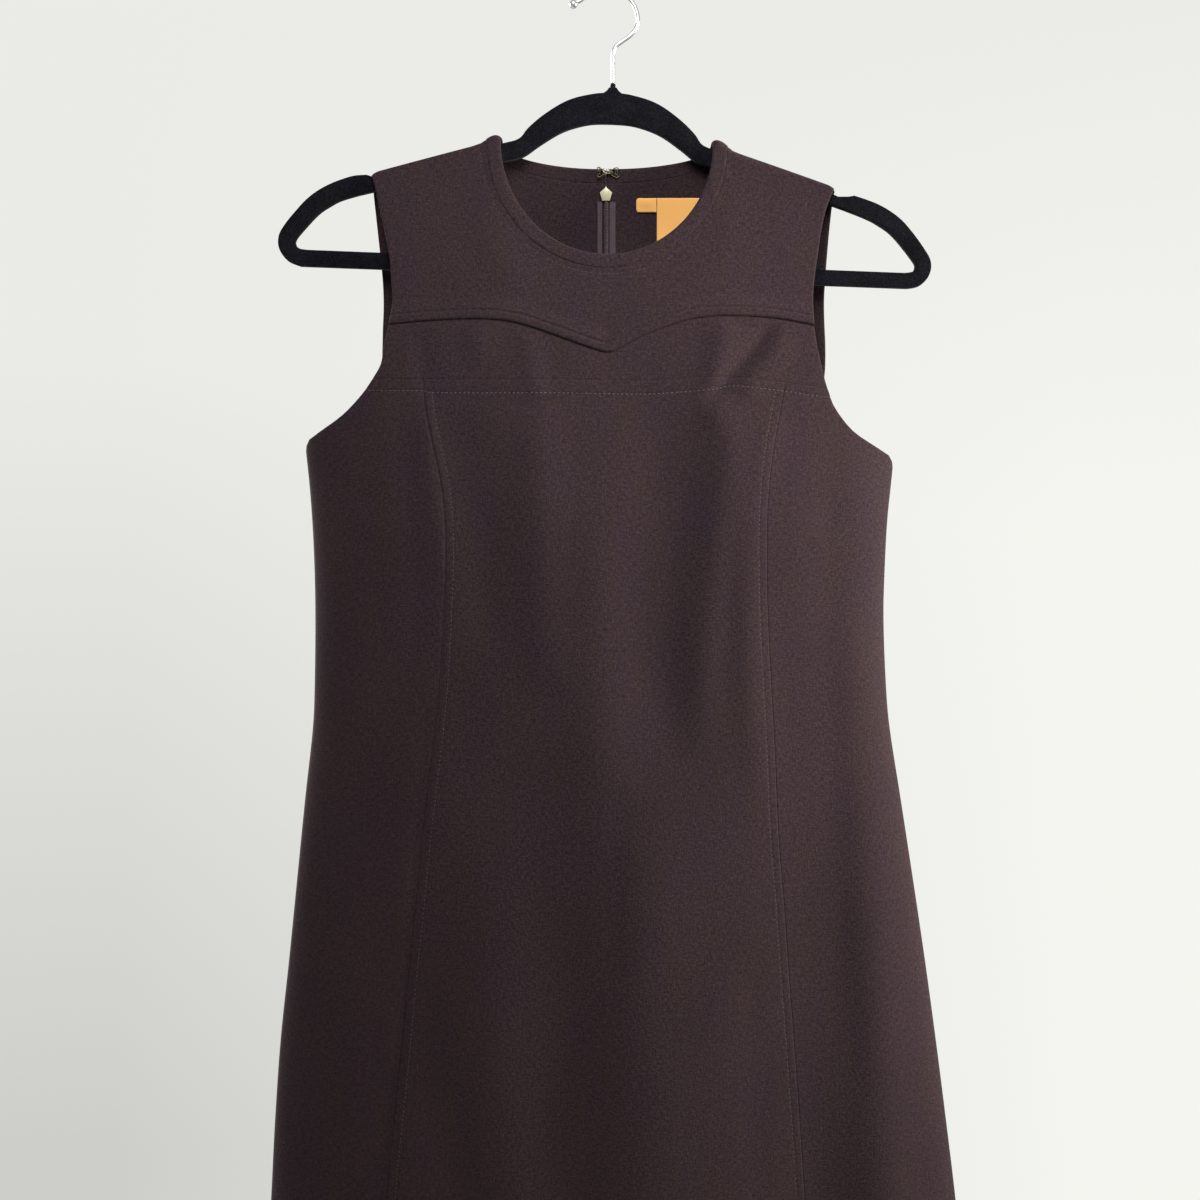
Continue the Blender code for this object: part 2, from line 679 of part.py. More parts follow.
def back_row(x, row, top):
    """Drop of a row of the back, from the hem up to the foot of its upper patch."""
    if row <= SKIRT_ROWS:
        return skirt_row(x, row)
    return mix(skirt_row(x, SKIRT_ROWS), top, ARM_ROWS[row - SKIRT_ROWS])


def back_panel(side, name):
    """Back piece from the neck seam and shoulder to the hem, open along the zip."""
    columns = neck_columns(BACK, side)
    foot = [column[1] for column in columns if column[2]]
    if side == RIGHT:
        columns.reverse()
        foot.reverse()
    corner = YOKE_CORNER[side]
    corner_x = side * edge_out(BACK, side, corner)

    def inside_slit(x, drop):
        return cloth_point(BACK, side * max(side * x, slit(drop)), drop)

    def upper(column, row):
        share, outer = columns[column][:2]
        inner = neck_curve(BACK, side, BAND_WIDTH + BAND_OPEN, share)
        return inside_slit(*across_shoulder(inner, outer, BACK_TOP_ROWS[row]))

    def lower(column, row):
        row = FRONT_ROWS - row
        x_foot, top = foot[column]
        share = x_foot / corner_x
        gathered = 1 - (1 - share) ** 1.5 if share < 1 else 1.0
        if row <= SKIRT_ROWS:
            seam = mix(HEM[side], UNDERARM[side], row / SKIRT_ROWS)
            gather = 1.0
        else:
            up = ARM_ROWS[row - SKIRT_ROWS]
            seam = mix(UNDERARM[side], corner, up)
            gather = 1 - ease(up)
        x = side * mix(share, gathered, gather) * edge_out(BACK, side, seam)
        return inside_slit(x, back_row(x, row, top))

    cloth_panel(name, [(len(columns) - 1, len(BACK_TOP_ROWS) - 1, upper),
                       (len(foot) - 1, FRONT_ROWS, lower)])


# ---------------------------------------------------------------- zip and small fittings
def zip_strip(name, x_from, x_to, thick):
    """A strip of the zip, inside the centre-back seam, on the rows of the back panels."""
    foot = (YOKE_CORNER[LEFT] + YOKE_CORNER[RIGHT]) / 2
    rows = [back_row(0.0, k, foot) for k in range(FRONT_ROWS)]
    rows += [mix(foot, NECK_FOOT[BACK] + BAND_WIDTH, 1 - t) for t in reversed(BACK_TOP_ROWS)]
    rows = [ZIP_TOP] + [drop for drop in reversed(rows) if ZIP_TOP < drop < ZIP_FOOT] + [ZIP_FOOT]

    def place(column, row):
        return cloth_point(BACK, mix(x_from, x_to, column), rows[row], -ZIP_CLEAR - thick)

    cloth_panel(name, [(1, len(rows) - 1, place)], thick, "zip_textile")


def back_frame(drop):
    """Frame on the outside of the back at the centre: X across, Y out of the cloth, Z up it."""
    above, below = cloth_point(BACK, 0.0, drop - 4.0), cloth_point(BACK, 0.0, drop + 4.0)
    up = (above - below).normalized()
    across = Vector((1.0, 0.0, 0.0))
    out = up.cross(across)
    turn = Matrix((across, out, up)).transposed().to_4x4()
    return Matrix.Translation(cloth_point(BACK, 0.0, drop)) @ turn


def box(name, size, middle, collection, slot):
    mesh = bpy.data.meshes.new(name)
    bm = bmesh.new()
    bmesh.ops.create_cube(bm, size=1.0)
    bmesh.ops.scale(bm, vec=Vector(size) * MM, verts=bm.verts)
    bmesh.ops.translate(bm, vec=Vector(middle) * MM, verts=bm.verts)
    bm.to_mesh(mesh)
    bm.free()
    return add_object(name, mesh, slot, collection)


def wire_curve(name, points, radius, closed=False, sides=2):
    """Curve object with round wire on a list of 3-D points in millimetres."""
    curve = bpy.data.curves.new(name, "CURVE")
    curve.dimensions = "3D"
    curve.bevel_depth = radius * MM
    curve.bevel_resolution = sides
    curve.use_fill_caps = True
    spline = curve.splines.new("POLY")
    spline.points.add(len(points) - 1)
    for point, place in zip(spline.points, points):
        point.co = (*(Vector(place) * MM), 1.0)
    spline.use_cyclic_u = closed
    return curve


def flat_curve(name, outlines, thick):
    """Flat plate from 2-D outlines in millimetres; an inner outline is a hole."""
    curve = bpy.data.curves.new(name, "CURVE")
    curve.dimensions = "2D"
    curve.fill_mode = "BOTH"
    curve.extrude = thick / 2 * MM
    for outline in outlines:
        spline = curve.splines.new("POLY")
        spline.points.add(len(outline) - 1)
        for point, (x, y) in zip(spline.points, outline):
            point.co = (x * MM, y * MM, 0.0, 1.0)
        spline.use_cyclic_u = True
    return curve


def mesh_from_curve(curve, matrix, collection, slot):
    """Welded mesh object from a curve, ready to be joined."""
    name = curve.name
    maker = bpy.data.objects.new(name + "_curve", curve)
    bpy.context.scene.collection.objects.link(maker)
    maker.matrix_world = matrix
    graph = bpy.context.evaluated_depsgraph_get()
    mesh = bpy.data.meshes.new_from_object(maker.evaluated_get(graph))
    bm = bmesh.new()
    bm.from_mesh(mesh)
    bmesh.ops.remove_doubles(bm, verts=bm.verts, dist=1e-6)
    bm.to_mesh(mesh)
    bm.free()
    bpy.data.objects.remove(maker, do_unlink=True)
    mesh.materials.clear()
    made = add_object(name, mesh, slot, collection)
    made.matrix_world = matrix
    return made


def join(body, pieces):
    """Boolean union of pieces into body."""
    for piece in pieces:
        union = body.modifiers.new("join_" + piece.name, "BOOLEAN")
        union.operation = "UNION"
        union.object = piece
        piece.hide_render = True
        piece.display_type = "WIRE"


def round_end(middle, radius, start, turn, steps):
    return [(middle[0] + radius * math.cos(math.radians(start + turn * k / steps)),
             middle[1] + radius * math.sin(math.radians(start + turn * k / steps)))
            for k in range(steps + 1)]


def zip_slider(frame):
    """Five-sided inner plate, stem through the slit, outer plate and bail."""
    inner = bpy.data.meshes.new("zip_slider")
    bm = bmesh.new()
    bmesh.ops.create_cone(bm, cap_ends=True, segments=5, radius1=1.0, radius2=1.0, depth=1.0)
    bmesh.ops.rotate(bm, verts=bm.verts, matrix=Matrix.Rotation(math.pi / 2, 3, "X"))
    width = max(v.co.x for v in bm.verts) - min(v.co.x for v in bm.verts)
    top, foot = max(v.co.z for v in bm.verts), min(v.co.z for v in bm.verts)
    if abs(top) < abs(foot):
        bmesh.ops.rotate(bm, verts=bm.verts, matrix=Matrix.Rotation(math.pi, 3, "Y"))
        top, foot = -foot, -top
    middle = (top + foot) / 2
    for v in bm.verts:
        v.co = Vector((v.co.x * SLIDER_WIDTH / width, v.co.y * SLIDER_THICK,
                       (v.co.z - middle) * SLIDER_HEIGHT / (top - foot))) * MM
    bmesh.ops.translate(bm, verts=bm.verts, vec=(0, -(ZIP_CLEAR + SLIDER_THICK / 2) * MM, 0))
    bm.to_mesh(inner)
    bm.free()
    slider = add_object("zip_slider", inner, "cream_enamel", dress)
    slider.matrix_world = frame
    plate_y = CLOTH + ZIP_CLEAR + FACE_PLATE[1] / 2
    stem_from, stem_to = -ZIP_CLEAR - SLIDER_THICK / 2, plate_y
    plate = box("slider_plate", FACE_PLATE, (0, plate_y, 0), cutters, "cream_enamel")
    stem = box("slider_stem", (SLIDER_STEM[0], stem_to - stem_from, SLIDER_STEM[1]),
               (0, (stem_from + stem_to) / 2, 0), cutters, "cream_enamel")
    face_y = plate_y + FACE_PLATE[1] / 2
    arch = round_end((0.0, 0.0), BAIL_MIDDLE, -8, 196, 12)
    bail = mesh_from_curve(
        wire_curve("slider_bail", [(0.0, face_y + y, z) for z, y in arch], BAIL_WIRE),
        Matrix.Identity(4), cutters, "cream_enamel")
    for piece in (plate, stem, bail):
        piece.matrix_world = frame
    join(slider, (plate, stem, bail))
    return face_y


def zip_pull(frame, face_y):
    """Pull tab on its crossbar; its origin is on the hinge line."""
    half = PULL_WIDTH / 2
    end = round_end((0.0, -PULL_LENGTH + half), half, 180, 180, 10)
    outline = [(half, -0.5), (half - 0.5, PULL_BAR), (-half + 0.5, PULL_BAR), (-half, -0.5)] + end
    eye = [(-PULL_EYE[0] / 2, -PULL_BAR), (PULL_EYE[0] / 2, -PULL_BAR),
           (PULL_EYE[0] / 2, -PULL_BAR - PULL_EYE[1]), (-PULL_EYE[0] / 2, -PULL_BAR - PULL_EYE[1])]
    curve = flat_curve("zip_pull", (outline, eye), PULL_THICK)
    pull = add_object("zip_pull", curve, "cream_enamel", dress)
    stand = Matrix.Rotation(math.pi / 2, 4, "X")
    pull.matrix_world = frame @ Matrix.Translation((0, (face_y + HINGE_OUT) * MM, 0)) @ stand


def neck_fastener(name, path, over):
    """Bent wire of the hook or the eye, on the inside of the neck band."""
    points = []
    for x, down in smooth_path(path, 3):
        drop = NECK_FOOT[BACK] + 0.6 + down
        place = cloth_point(BACK, x, drop, -EYE_CLEAR - WIRE_EYE - over) / MM
        points.append(tuple(place))
    add_object(name, wire_curve(name, points, WIRE_EYE, sides=1), "brass", dress)


def label(name, left, top, size, columns, rows):
    def place(column, row):
        x = left + size[0] * column / columns
        drop = top + size[1] * row / rows
        return cloth_point(BACK, x, drop, -LABEL_CLEAR - LABEL_THICK)

    cloth_panel(name, [(columns, rows, place)], LABEL_THICK, "label_weave")


# ---------------------------------------------------------------- hanger
def arm_edges(side):
    """Outer edge and window edge of one side of the hanger, each from the middle out."""
    top = [(along, down) for along, down, _ in ARM_CROWN]
    top += [(along, shoulder_down(along) + ARM_REST) for along, _ in ARM_SHOULDER]
    straight = [place for place in top if place[0] < ARM_CROWN[3][0]]
    outer = straight + smooth_path(top[len(straight):]) + list(STRAP_NOTCH[side])
    outer += smooth_path(list(HANGER_END[side]))
    lower = [(along, down) for along, _, down in ARM_CROWN if along == 0 or along > 10]
    window = smooth_path(lower + list(ARM_SHOULDER) + list(WINDOW_END[side]))
    return [[(side * along, down) for along, down in edge] for edge in (outer, window)]


def hanger_body():
    outlines = []
    for left, right in zip(arm_edges(LEFT), arm_edges(RIGHT)):
        outlines.append([hanger_point(*place) for place in right + left[:0:-1]])
    upright = Matrix.Rotation(math.pi / 2, 4, "X")
    body = mesh_from_curve(flat_curve("hanger_body", outlines, HANGER_THICK), upright,
                           dress, "flock")
    ferrule = bpy.data.meshes.new("hanger_ferrule")
    bm = bmesh.new()
    bmesh.ops.create_cone(bm, cap_ends=True, segments=20, radius1=FERRULE_RADII[0] * MM,
                          radius2=FERRULE_RADII[1] * MM, depth=FERRULE_FOOT * MM)
    bm.to_mesh(ferrule)
    bm.free()
    cone = add_object("hanger_ferrule", ferrule, "flock", cutters)
    x, z = hanger_point(0.0, FERRULE_FOOT / 2)
    cone.matrix_world = (Matrix.Translation(Vector((x, 0, z)) * MM)
                         @ Matrix.Rotation(HANGER_TILT, 4, "Y"))
    join(body, (cone,))


def hanger_hook():
    """Chrome wire: straight stem, a bend out, then the round crown over the rail."""
    start, end = CROWN_TURN
    crown_drop = CROWN_RADIUS - WIRE_RADIUS
    crown = [(x, crown_drop - y) for x, y in round_end((0, 0), CROWN_RADIUS, start, end - start, 28)]
    stem = [(FERRULE_X, FERRULE_DROP - WIRE_CLEAR)] + list(HOOK_STEM)
    path = smooth_path(stem + [crown[0]], 3)[:-1] + crown + list(HOOK_FLARE)
    add_object("hanger_hook", wire_curve("hanger_hook", [(x, 0, -drop) for x, drop in path],
                                         WIRE_RADIUS), "chrome", dress)
    return path


def hook_tip(path):
    """Ball just past the end of the wire."""
    (x0, d0), (x1, d1) = path[-2], path[-1]
    length = math.hypot(x1 - x0, d1 - d0)
    reach = TIP_RADIUS + SEAM_GAP
    middle = (x1 + (x1 - x0) / length * reach, d1 + (d1 - d0) / length * reach)
    mesh = bpy.data.meshes.new("hook_tip")
    bm = bmesh.new()
    bmesh.ops.create_uvsphere(bm, u_segments=16, v_segments=10, radius=TIP_RADIUS * MM)
    bm.to_mesh(mesh)
    bm.free()
    mesh.shade_smooth()
    ball = add_object("hook_tip", mesh, "chrome", dress)
    ball.location = Vector((middle[0], 0, -middle[1])) * MM


def main():
    front_neck_band()
    front_yoke()
    front_chest_band()
    front_centre_panel()
    front_side_panels()
    back_neck_band(LEFT, "back_neck_band_left")
    back_neck_band(RIGHT, "back_neck_band_right")
    back_panel(LEFT, "back_panel_left")
    back_panel(RIGHT, "back_panel_right")
    chain = CHAIN_WIDTH / 2
    tape = chain + SEAM_GAP
    zip_strip("zip_chain", -chain, chain, CHAIN_THICK)
    zip_strip("zip_tape_left", -tape - TAPE_WIDTH, -tape, TAPE_THICK)
    zip_strip("zip_tape_right", tape, tape + TAPE_WIDTH, TAPE_THICK)
    frame = back_frame(SLIDER_DROP)
    face_y = zip_slider(frame)
    zip_pull(frame, face_y)
    neck_fastener("neck_eye", EYE_PATH, 0.0)
    neck_fastener("neck_hook", HOOK_PATH, HOOK_OVER)
    label("neck_label", LABEL_LEFT, LABEL_TOP, LABEL_SIZE, 5, 5)
    label("size_tab", LABEL_LEFT - SEAM_GAP - TAB_SIZE[0], LABEL_TOP, TAB_SIZE, 2, 2)
    hanger_body()
    hook_tip(hanger_hook())
    bpy.context.view_layer.update()


clear_scene()
dress = new_collection("sheath_dress")
cutters = new_collection("cutters")
main()
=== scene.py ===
"""Looks of the sheath dress on its slim hanger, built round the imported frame.

Metres, +Z up, front of the dress toward -Y, origin inside the crown of the hook. The cloth's form
is worked out in millimetres, where "drop" is the distance straight down from the origin, "left" is
the -X side and "right" the +X side, as seen from the front.
"""

import math

import bpy
import numpy as np
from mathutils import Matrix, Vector


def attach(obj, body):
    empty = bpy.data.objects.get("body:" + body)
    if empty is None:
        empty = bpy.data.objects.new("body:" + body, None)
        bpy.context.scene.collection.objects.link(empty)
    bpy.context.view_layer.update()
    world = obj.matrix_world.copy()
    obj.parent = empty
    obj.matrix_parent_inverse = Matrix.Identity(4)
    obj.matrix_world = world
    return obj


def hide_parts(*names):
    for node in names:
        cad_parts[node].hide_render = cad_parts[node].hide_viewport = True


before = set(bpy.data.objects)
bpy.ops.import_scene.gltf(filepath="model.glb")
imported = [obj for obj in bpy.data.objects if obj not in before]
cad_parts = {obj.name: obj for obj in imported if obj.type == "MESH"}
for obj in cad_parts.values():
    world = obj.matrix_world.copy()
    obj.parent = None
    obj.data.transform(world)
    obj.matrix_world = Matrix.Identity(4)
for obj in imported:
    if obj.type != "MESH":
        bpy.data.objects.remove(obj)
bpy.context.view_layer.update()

bl_info = {
    "name": "Sheath Dress on a Hanger",
    "version": (1, 0, 0),
    "blender": (4, 5, 0),
    "location": "3D View > Sidebar > Dress",
    "description": "Builds a sleeveless sheath dress with a pointed yoke, on its slim hanger",
    "category": "Object",
}

MM = 0.001
LEFT, RIGHT = -1, 1
SIDE_NAMES = {LEFT: "left", RIGHT: "right"}
FRONT, BACK = -1, 1
BODY = "dress"
WELD, OUTWARD = {"threshold": 1e-6}, {"inside": False}

# ---- form of the hung cloth, in millimetres
CLOTH = 1.5
BAND_CLOTH = 2.0
SEAM_GAP = 0.3
HALF_GAP = SEAM_GAP / 2
FERRULE_DROP = 63.4
HANGER_TILT = math.radians(2.1)
SHOULDER_MIDDLE = 2.8
SHOULDER_START, SHOULDER_DROP, SHOULDER_SLOPE = 89.0, 45.8, 0.278
SHOULDER_NECK, SHOULDER_EASE = 75.0, 6.0
SHOULDER_ROUND = 4.0
SHOULDER_FADE = (60.0, 180.0)
SHOULDER_BLEND = 10.0
ROLL_AT, ROLL_WIDTH, ROLL_FALL, ROLL_REACH = 75.7, 5.0, 2.0, 4.7
ROLL_HEIGHT = {LEFT: 3.4, RIGHT: 4.8}
TIP_ROUND, TIP_FALL = 7.0, 3.6
NECK_X, NECK_HALF = 0.5, 72.0
NECK_FOOT = {FRONT: 183.5, BACK: 120.0}
NECK_SHARE = {FRONT: 0.34, BACK: 0.5}
BAND_WIDTH, BAND_NOTCH, NOTCH_DEPTH = 9.5, 2.6, 4.6
UNDERARM = {LEFT: 311.6, RIGHT: 322.5}
ARMHOLE_DEPTH = 187.0
HEM = {LEFT: 1016.0, RIGHT: 1028.0}
SECTION_POWER, SECTION_ROUND = 2.4, 0.62
BACK_SLIT = 1.1
ZIP_TOP, ZIP_FOOT = 141.8, 640.0
SLIDER_DROP = 136.6
ZIP_CLEAR = 0.4
LABEL_LEFT, LABEL_TOP = 35.0, 139.4
LABEL_SIZE, TAB_SIZE = (34.0, 37.0), (13.9, 9.4)
LABEL_CLEAR, LABEL_THICK = 0.6, 0.7
CROWN_RADIUS, CROWN_TURN, WIRE_RADIUS = 21.8, (-4.0, 136.0), 1.4
TIP_RADIUS = 2.9

# side seams: drop, left, right
SIDE_SEAMS = (
    (312, 205, 197), (335, 202.5, 194.6), (360, 200.5, 192), (390, 199, 190.3),
    (425, 198.3, 189.3), (470, 198.7, 190.8), (500, 199.8, 193.2), (550, 205.2, 200.9),
    (606, 210.8, 209.5), (660, 216.2, 217.5), (715, 222, 225), (770, 225.8, 232),
    (824, 228.5, 238.5), (925, 234, 249), (1028, 239, 258),
)
# fullness: down from the shoulder line, front, back
FULLNESS = (
    (0, 0, 0), (25, 5, 4), (50, 10.5, 8), (85, 18.5, 12.5), (120, 26.5, 17),
    (165, 35.5, 22), (215, 42, 26), (260, 45, 27), (315, 45, 24), (370, 44, 26),
    (450, 43, 31), (560, 43, 33), (700, 44.5, 34), (930, 47.5, 37),
)
# armhole edges: down from the tip, front left, front right, back left, back right
ARMHOLE = (
    (0, 160, 156.5, 160, 156.5), (15, 156, 150, 159, 154.5),
    (30, 152.5, 146, 157.5, 153), (45, 149, 143.5, 156, 151.8),
    (60, 146, 141, 154.5, 150.8), (75, 144.5, 139.3, 153.3, 150),
    (90, 143.3, 139.3, 153, 150.3), (105, 145.5, 140.5, 153.6, 151),
    (120, 148.8, 143.5, 154, 151), (133, 151, 146.5, 154.5, 150),
    (141, 155.4, 149, 157, 150.5), (150, 161.4, 152.4, 161, 152.4),
    (160, 170.2, 159.4, 169, 157.4), (168, 179.2, 167.4, 178, 165.9),
    (175, 190, 179, 188.5, 177), (182, 201, 191.6, 199.5, 190),
)
# lower edge of the yoke: x, drop
YOKE_EDGE = (
    (-146, 230.7), (-120, 228.8), (-95, 228), (-75, 228.6), (-57, 231.8),
    (-33, 240), (-11.5, 247.8), (1.9, 251), (13.3, 245.6), (30, 237.2), (51, 229.7),
    (67, 226.7), (82, 225.8), (113, 227), (141, 231.4),
)
YOKE_POINT = 1.9
YOKE_CORNER = {LEFT: 230.7, RIGHT: 231.4}
# seam under the chest band: x, drop
CHEST_SEAM = (
    (-158, 267), (-90, 268.8), (-33, 269.2), (25, 269.8), (62, 267.6),
    (95, 267.8), (150, 273.8),
)
# princess seams: drop, left, right
PRINCESS = (
    (268, 122, 120), (290, 119.5, 115.5), (313, 115, 111), (335, 110, 108),
    (360, 107, 106.3), (390, 106.2, 106), (425, 107.5, 106.7), (470, 110, 109),
    (515, 114.5, 111.5), (570, 121, 114), (620, 126, 118), (670, 131.3, 121.5),
    (715, 135.5, 125), (811, 145, 131.5), (1028, 160, 144),
)
# largest folds of a face: x and drop at the top, x and drop at the bottom, half width, height
FOLDS = {
    FRONT: (
        (-8, 330, -4, 600, 16, 2.8), (38, 245, 42, 555, 23, -5), (14, 430, 26, 1028, 34, 6),
        (136, 300, 140, 1028, 25, -6.6), (174, 500, 198, 1028, 15, 4.2),
        (-88, 480, -48, 1028, 20, 2.3), (-30, 540, -22, 1028, 22, -2),
        (-146, 600, -160, 1028, 14, -1.4),
    ),
    BACK: (
        (52, 520, 66, 1028, 26, 3.2), (110, 470, 132, 1028, 24, -2.6),
        (-48, 500, -60, 1028, 28, 3), (-112, 540, -134, 1028, 24, -2.4),
    ),
}
FOLD_RUN = 3.0
# creases of a face: height (+ ridge, - trough), half width, then places x, drop along it
CREASES = {
    FRONT: (
        (-3.4, 3.8, (114, 231), (103, 244), (92, 258), (78, 272), (66, 288)),
        (2.1, 6.5, (80, 228), (76, 248), (72, 272), (70, 306)),
        (1.6, 6, (121, 238), (110, 254), (98, 270), (92, 284)),
        (-1.5, 4.5, (-126, 234), (-121, 258), (-118, 284)),
        (1.4, 6, (-52, 236), (-49, 268), (-46, 284)), (1, 6, (-88, 232), (-82, 262)),
        (1.5, 7, (112, 284), (105, 312), (96, 350), (93, 395), (94, 440), (97, 500), (103, 570)),
        (-2.3, 11, (152, 296), (150, 400), (154, 520), (160, 640), (168, 760)),
        (2.8, 10, (84, 278), (80, 330), (70, 390), (63, 450), (60, 520)),
        (1.2, 5, (-124, 282), (-118, 320), (-112, 362), (-110, 405)),
        (-1.5, 6, (-135, 300), (-128, 350), (-124, 400), (-130, 470)),
        (-2.1, 11, (-98, 290), (-90, 340), (-80, 390), (-76, 450)),
        (2.6, 12, (-46, 282), (-45, 340), (-42, 410), (-38, 480)),
        (-1.3, 3.2, (-117, 480), (-125, 590), (-135, 690), (-147, 800), (-161, 1005)),
        (-0.55, 1.5, (-114, 313), (-106, 360), (-105, 390), (-106.4, 425), (-109, 470),
         (-113.4, 515), (-120, 570), (-130.2, 670), (-144, 811), (-159, 1020)),
        (-1, 6, (190, 330), (165, 350), (140, 362)), (0.9, 7, (186, 342), (160, 366), (134, 380)),
        (-1, 6, (-198, 322), (-172, 342), (-146, 356)),
        (0.8, 7, (-194, 336), (-166, 360), (-140, 376)),
        (0.6, 8, (-160, 380), (-162, 460), (-172, 600)),
        (-1.7, 12, (-122, 660), (-118, 710), (-109, 760), (-92, 820), (-84, 900)),
        (-0.8, 8, (95, 640), (98, 760), (104, 1010)), (-0.7, 7, (8, 540), (6, 600), (4, 680)),
        (0.5, 7, (-120, 180), (-104, 196), (-92, 214)),
        (-0.5, 6, (116, 176), (100, 196), (90, 214)), (0.4, 6, (-88, 150), (-76, 182), (-50, 208)),
        (0.4, 6, (86, 152), (76, 184), (52, 208)),
    ),
    BACK: (
        (-0.9, 6, (190, 334), (158, 352), (126, 360)),
        (0.8, 7, (184, 350), (150, 372), (118, 382)),
        (-0.9, 6, (-198, 326), (-166, 346), (-134, 356)),
        (0.8, 7, (-192, 344), (-158, 366), (-126, 378)),
        (-1.4, 8, (30, 420), (44, 450), (78, 470)), (1.1, 9, (26, 440), (46, 472), (86, 496)),
        (-1.4, 8, (-26, 426), (-48, 458), (-84, 474)),
        (1.1, 9, (-28, 446), (-52, 480), (-90, 500)), (-1.1, 9, (88, 560), (96, 760), (104, 1010)),
        (1, 10, (150, 520), (158, 740), (168, 1010)),
        (-1.1, 9, (-84, 580), (-92, 760), (-100, 1010)),
        (1, 10, (-156, 520), (-162, 740), (-170, 1010)),
        (-0.8, 8, (22, 560), (24, 700), (30, 900)), (0.6, 8, (60, 180), (80, 240), (90, 330)),
        (0.6, 8, (-62, 176), (-84, 236), (-92, 330)),
        (-0.6, 7, (100, 170), (116, 230), (120, 300)),
        (-0.6, 7, (-104, 168), (-118, 226), (-122, 300)),
    ),
}
# hook's wire from its foot up to the round crown: x, drop
HOOK_STEM = (
    (4.8, 63.0), (4.8, 55.0), (4.8, 47.0), (5.0, 42.0), (6.6, 38.2), (10.6, 34.9), (15.6, 31.3),
    (18.4, 28.6), (20.4, 25.6),
)
HOOK_FLARE = ((-17.5, 6.7), (-19.4, 7.7))
# wires of the hook and the eye: x, down from the top of the band
EYE_PATH = (
    (6.3, 3.4), (7.6, 2.2), (8.4, 0.9), (7.3, 0.2), (5.6, 0.9), (3.6, 2.2), (2.6, 3.5),
    (3.6, 4.8), (5.6, 6.1), (7.3, 6.8), (8.4, 6.1), (7.6, 4.9), (6.3, 4.1),
)
HOOK_PATH = (
    (-3.9, 3.3), (-5.2, 2.2), (-6.0, 0.9), (-4.9, 0.2), (-3.2, 1.3), (-0.6, 2.6), (3.2, 3.0),
    (4.4, 3.6), (3.2, 4.2), (-0.6, 4.6), (-3.2, 5.9), (-4.9, 6.8), (-6.0, 6.1), (-5.2, 4.9),
    (-3.9, 4.0),
)

# threads that hold the hook and the eye: x, down from the neck edge, turn
TACKS = (
    (-4.6, 0.6, 1.3), (-3.4, 1.3, 1.9), (-4.9, 3.6, 0.4), (-3.6, 4.2, 1.1), (-1.3, 1.5, 0.9),
    (-0.4, 2.4, 2.2), (0.5, 1.6, 1.3), (1.3, 2.7, 0.6), (0.2, 3.8, 1.9), (-0.8, 4.3, 1.2),
    (-5.7, 2.2, 1.5), (-2.4, 0.8, 2.5), (-4.2, 5.7, 0.4), (2.5, 1.0, 0.7), (7.9, 2.7, 1.4),
    (5.9, 0.7, 1.0), (6.9, 1.6, 1.8), (6.4, 3.8, 0.5), (7.4, 4.4, 2.3), (0.05, 4.7, 1.57),
    (-0.05, 7.2, 1.5), (0.0, 9.6, 1.62),
)

# ---- how the cloth is cut into cells
EDGE_LINES = (0.0, 0.12, 0.4, 0.9, 1.6, 2.6)
STITCHED_LINES = EDGE_LINES + (3.8, 4.8, 5.3, 5.7, 6.1, 6.8, 8.0)
SHOULDER_LINES = (0.0, 0.15, 0.4, 0.8, 1.4, 2.2, 3.2, 4.4, 6.0, 8.0, 10.0)
NECK_LINES = STITCHED_LINES[:8]
CORNER_LINES = EDGE_LINES + (3.8, 4.8, 5.6, 6.2, 6.8, 7.6, 9.0, 11.0)
WELT_LINES = (0.0, 0.12, 0.4, 0.8, 1.4, 2.1, 2.9, 3.8, 4.6, 5.1, 5.5, 5.8, 6.1, 6.4, 6.8, 7.4,
              8.1, 8.6, 9.0, 9.4, 9.9, 10.8, 12.4, 14.6)
CHEST_LINES = EDGE_LINES + (3.8, 5.0, 5.8, 6.2, 6.6, 7.4, 8.4, 8.9, 9.3, 9.8, 10.8, 12.4)
SEAM_SINK = 0.5             # share of the wall that a seam's lips roll in
SEAM_REACH = 1.7
NECK_COLUMNS = {FRONT: 26, BACK: 22}
BAND_ROWS, YOKE_ROWS, CHEST_ROWS, BACK_ROWS, PANEL_ROWS = 7, 15, 14, 24, 190
CHEST_COLUMNS, CENTRE_COLUMNS, SIDE_COLUMNS, BACK_COLUMNS = 96, 62, 26, 26
LABEL_CELLS, FILL_ROUNDS = 12, 12
LIP = 0.006                  # sewn pieces meet this close to their seam's line
SLIT_EASE = 40.0             # the back leans away from the zip's slit over this width
FOLD_TRIM = 0.42             # share of the wall that a turned edge rounds off on each side
STITCH_IN = 5.5              # topstitching, from its seam
STITCH_SINK = 0.32
SHADED_THREAD_SHARE = 0.42           # share of the thread's colour kept where it sinks into the cloth: painted shade of its channel
WELT_WIDTH = 6.0
WELT_UNDER = 2.5             # the chest band runs on under the welt
NECK_STITCH_IN = 4.0
NECK_STITCH_LINE = BAND_WIDTH + NECK_STITCH_IN + 0.3
YOKE_STITCH_IN = 9.0
ZIP_STITCH_IN = 6.0
PRINCESS_PUFF = {LEFT: 0.2, RIGHT: 0.06}      # rise of the turning beside each princess seam
PRINCESS_SINK = {LEFT: 0.9, RIGHT: 0.2}       # share of the wall, as for SEAM_SINK
ZIP_STEP = 3.0               # between two rows of the tapes' and the coil's cells
COIL_MIDDLE, COIL_HALF, COIL_THICK = 0.35, 1.4, 0.7
TAPE_THICK, TAPE_TRIM = 0.55, 0.18
TAPE_EDGES = {LEFT: (-5.9, -2.6), RIGHT: (2.35, 6.6)}
LABEL_LINES = (0.0, 0.3, 0.8, 1.5)
UNDER_LINES = (0.0, 0.6, 1.4, 2.5)            # upper edge of the chest band, under the welt
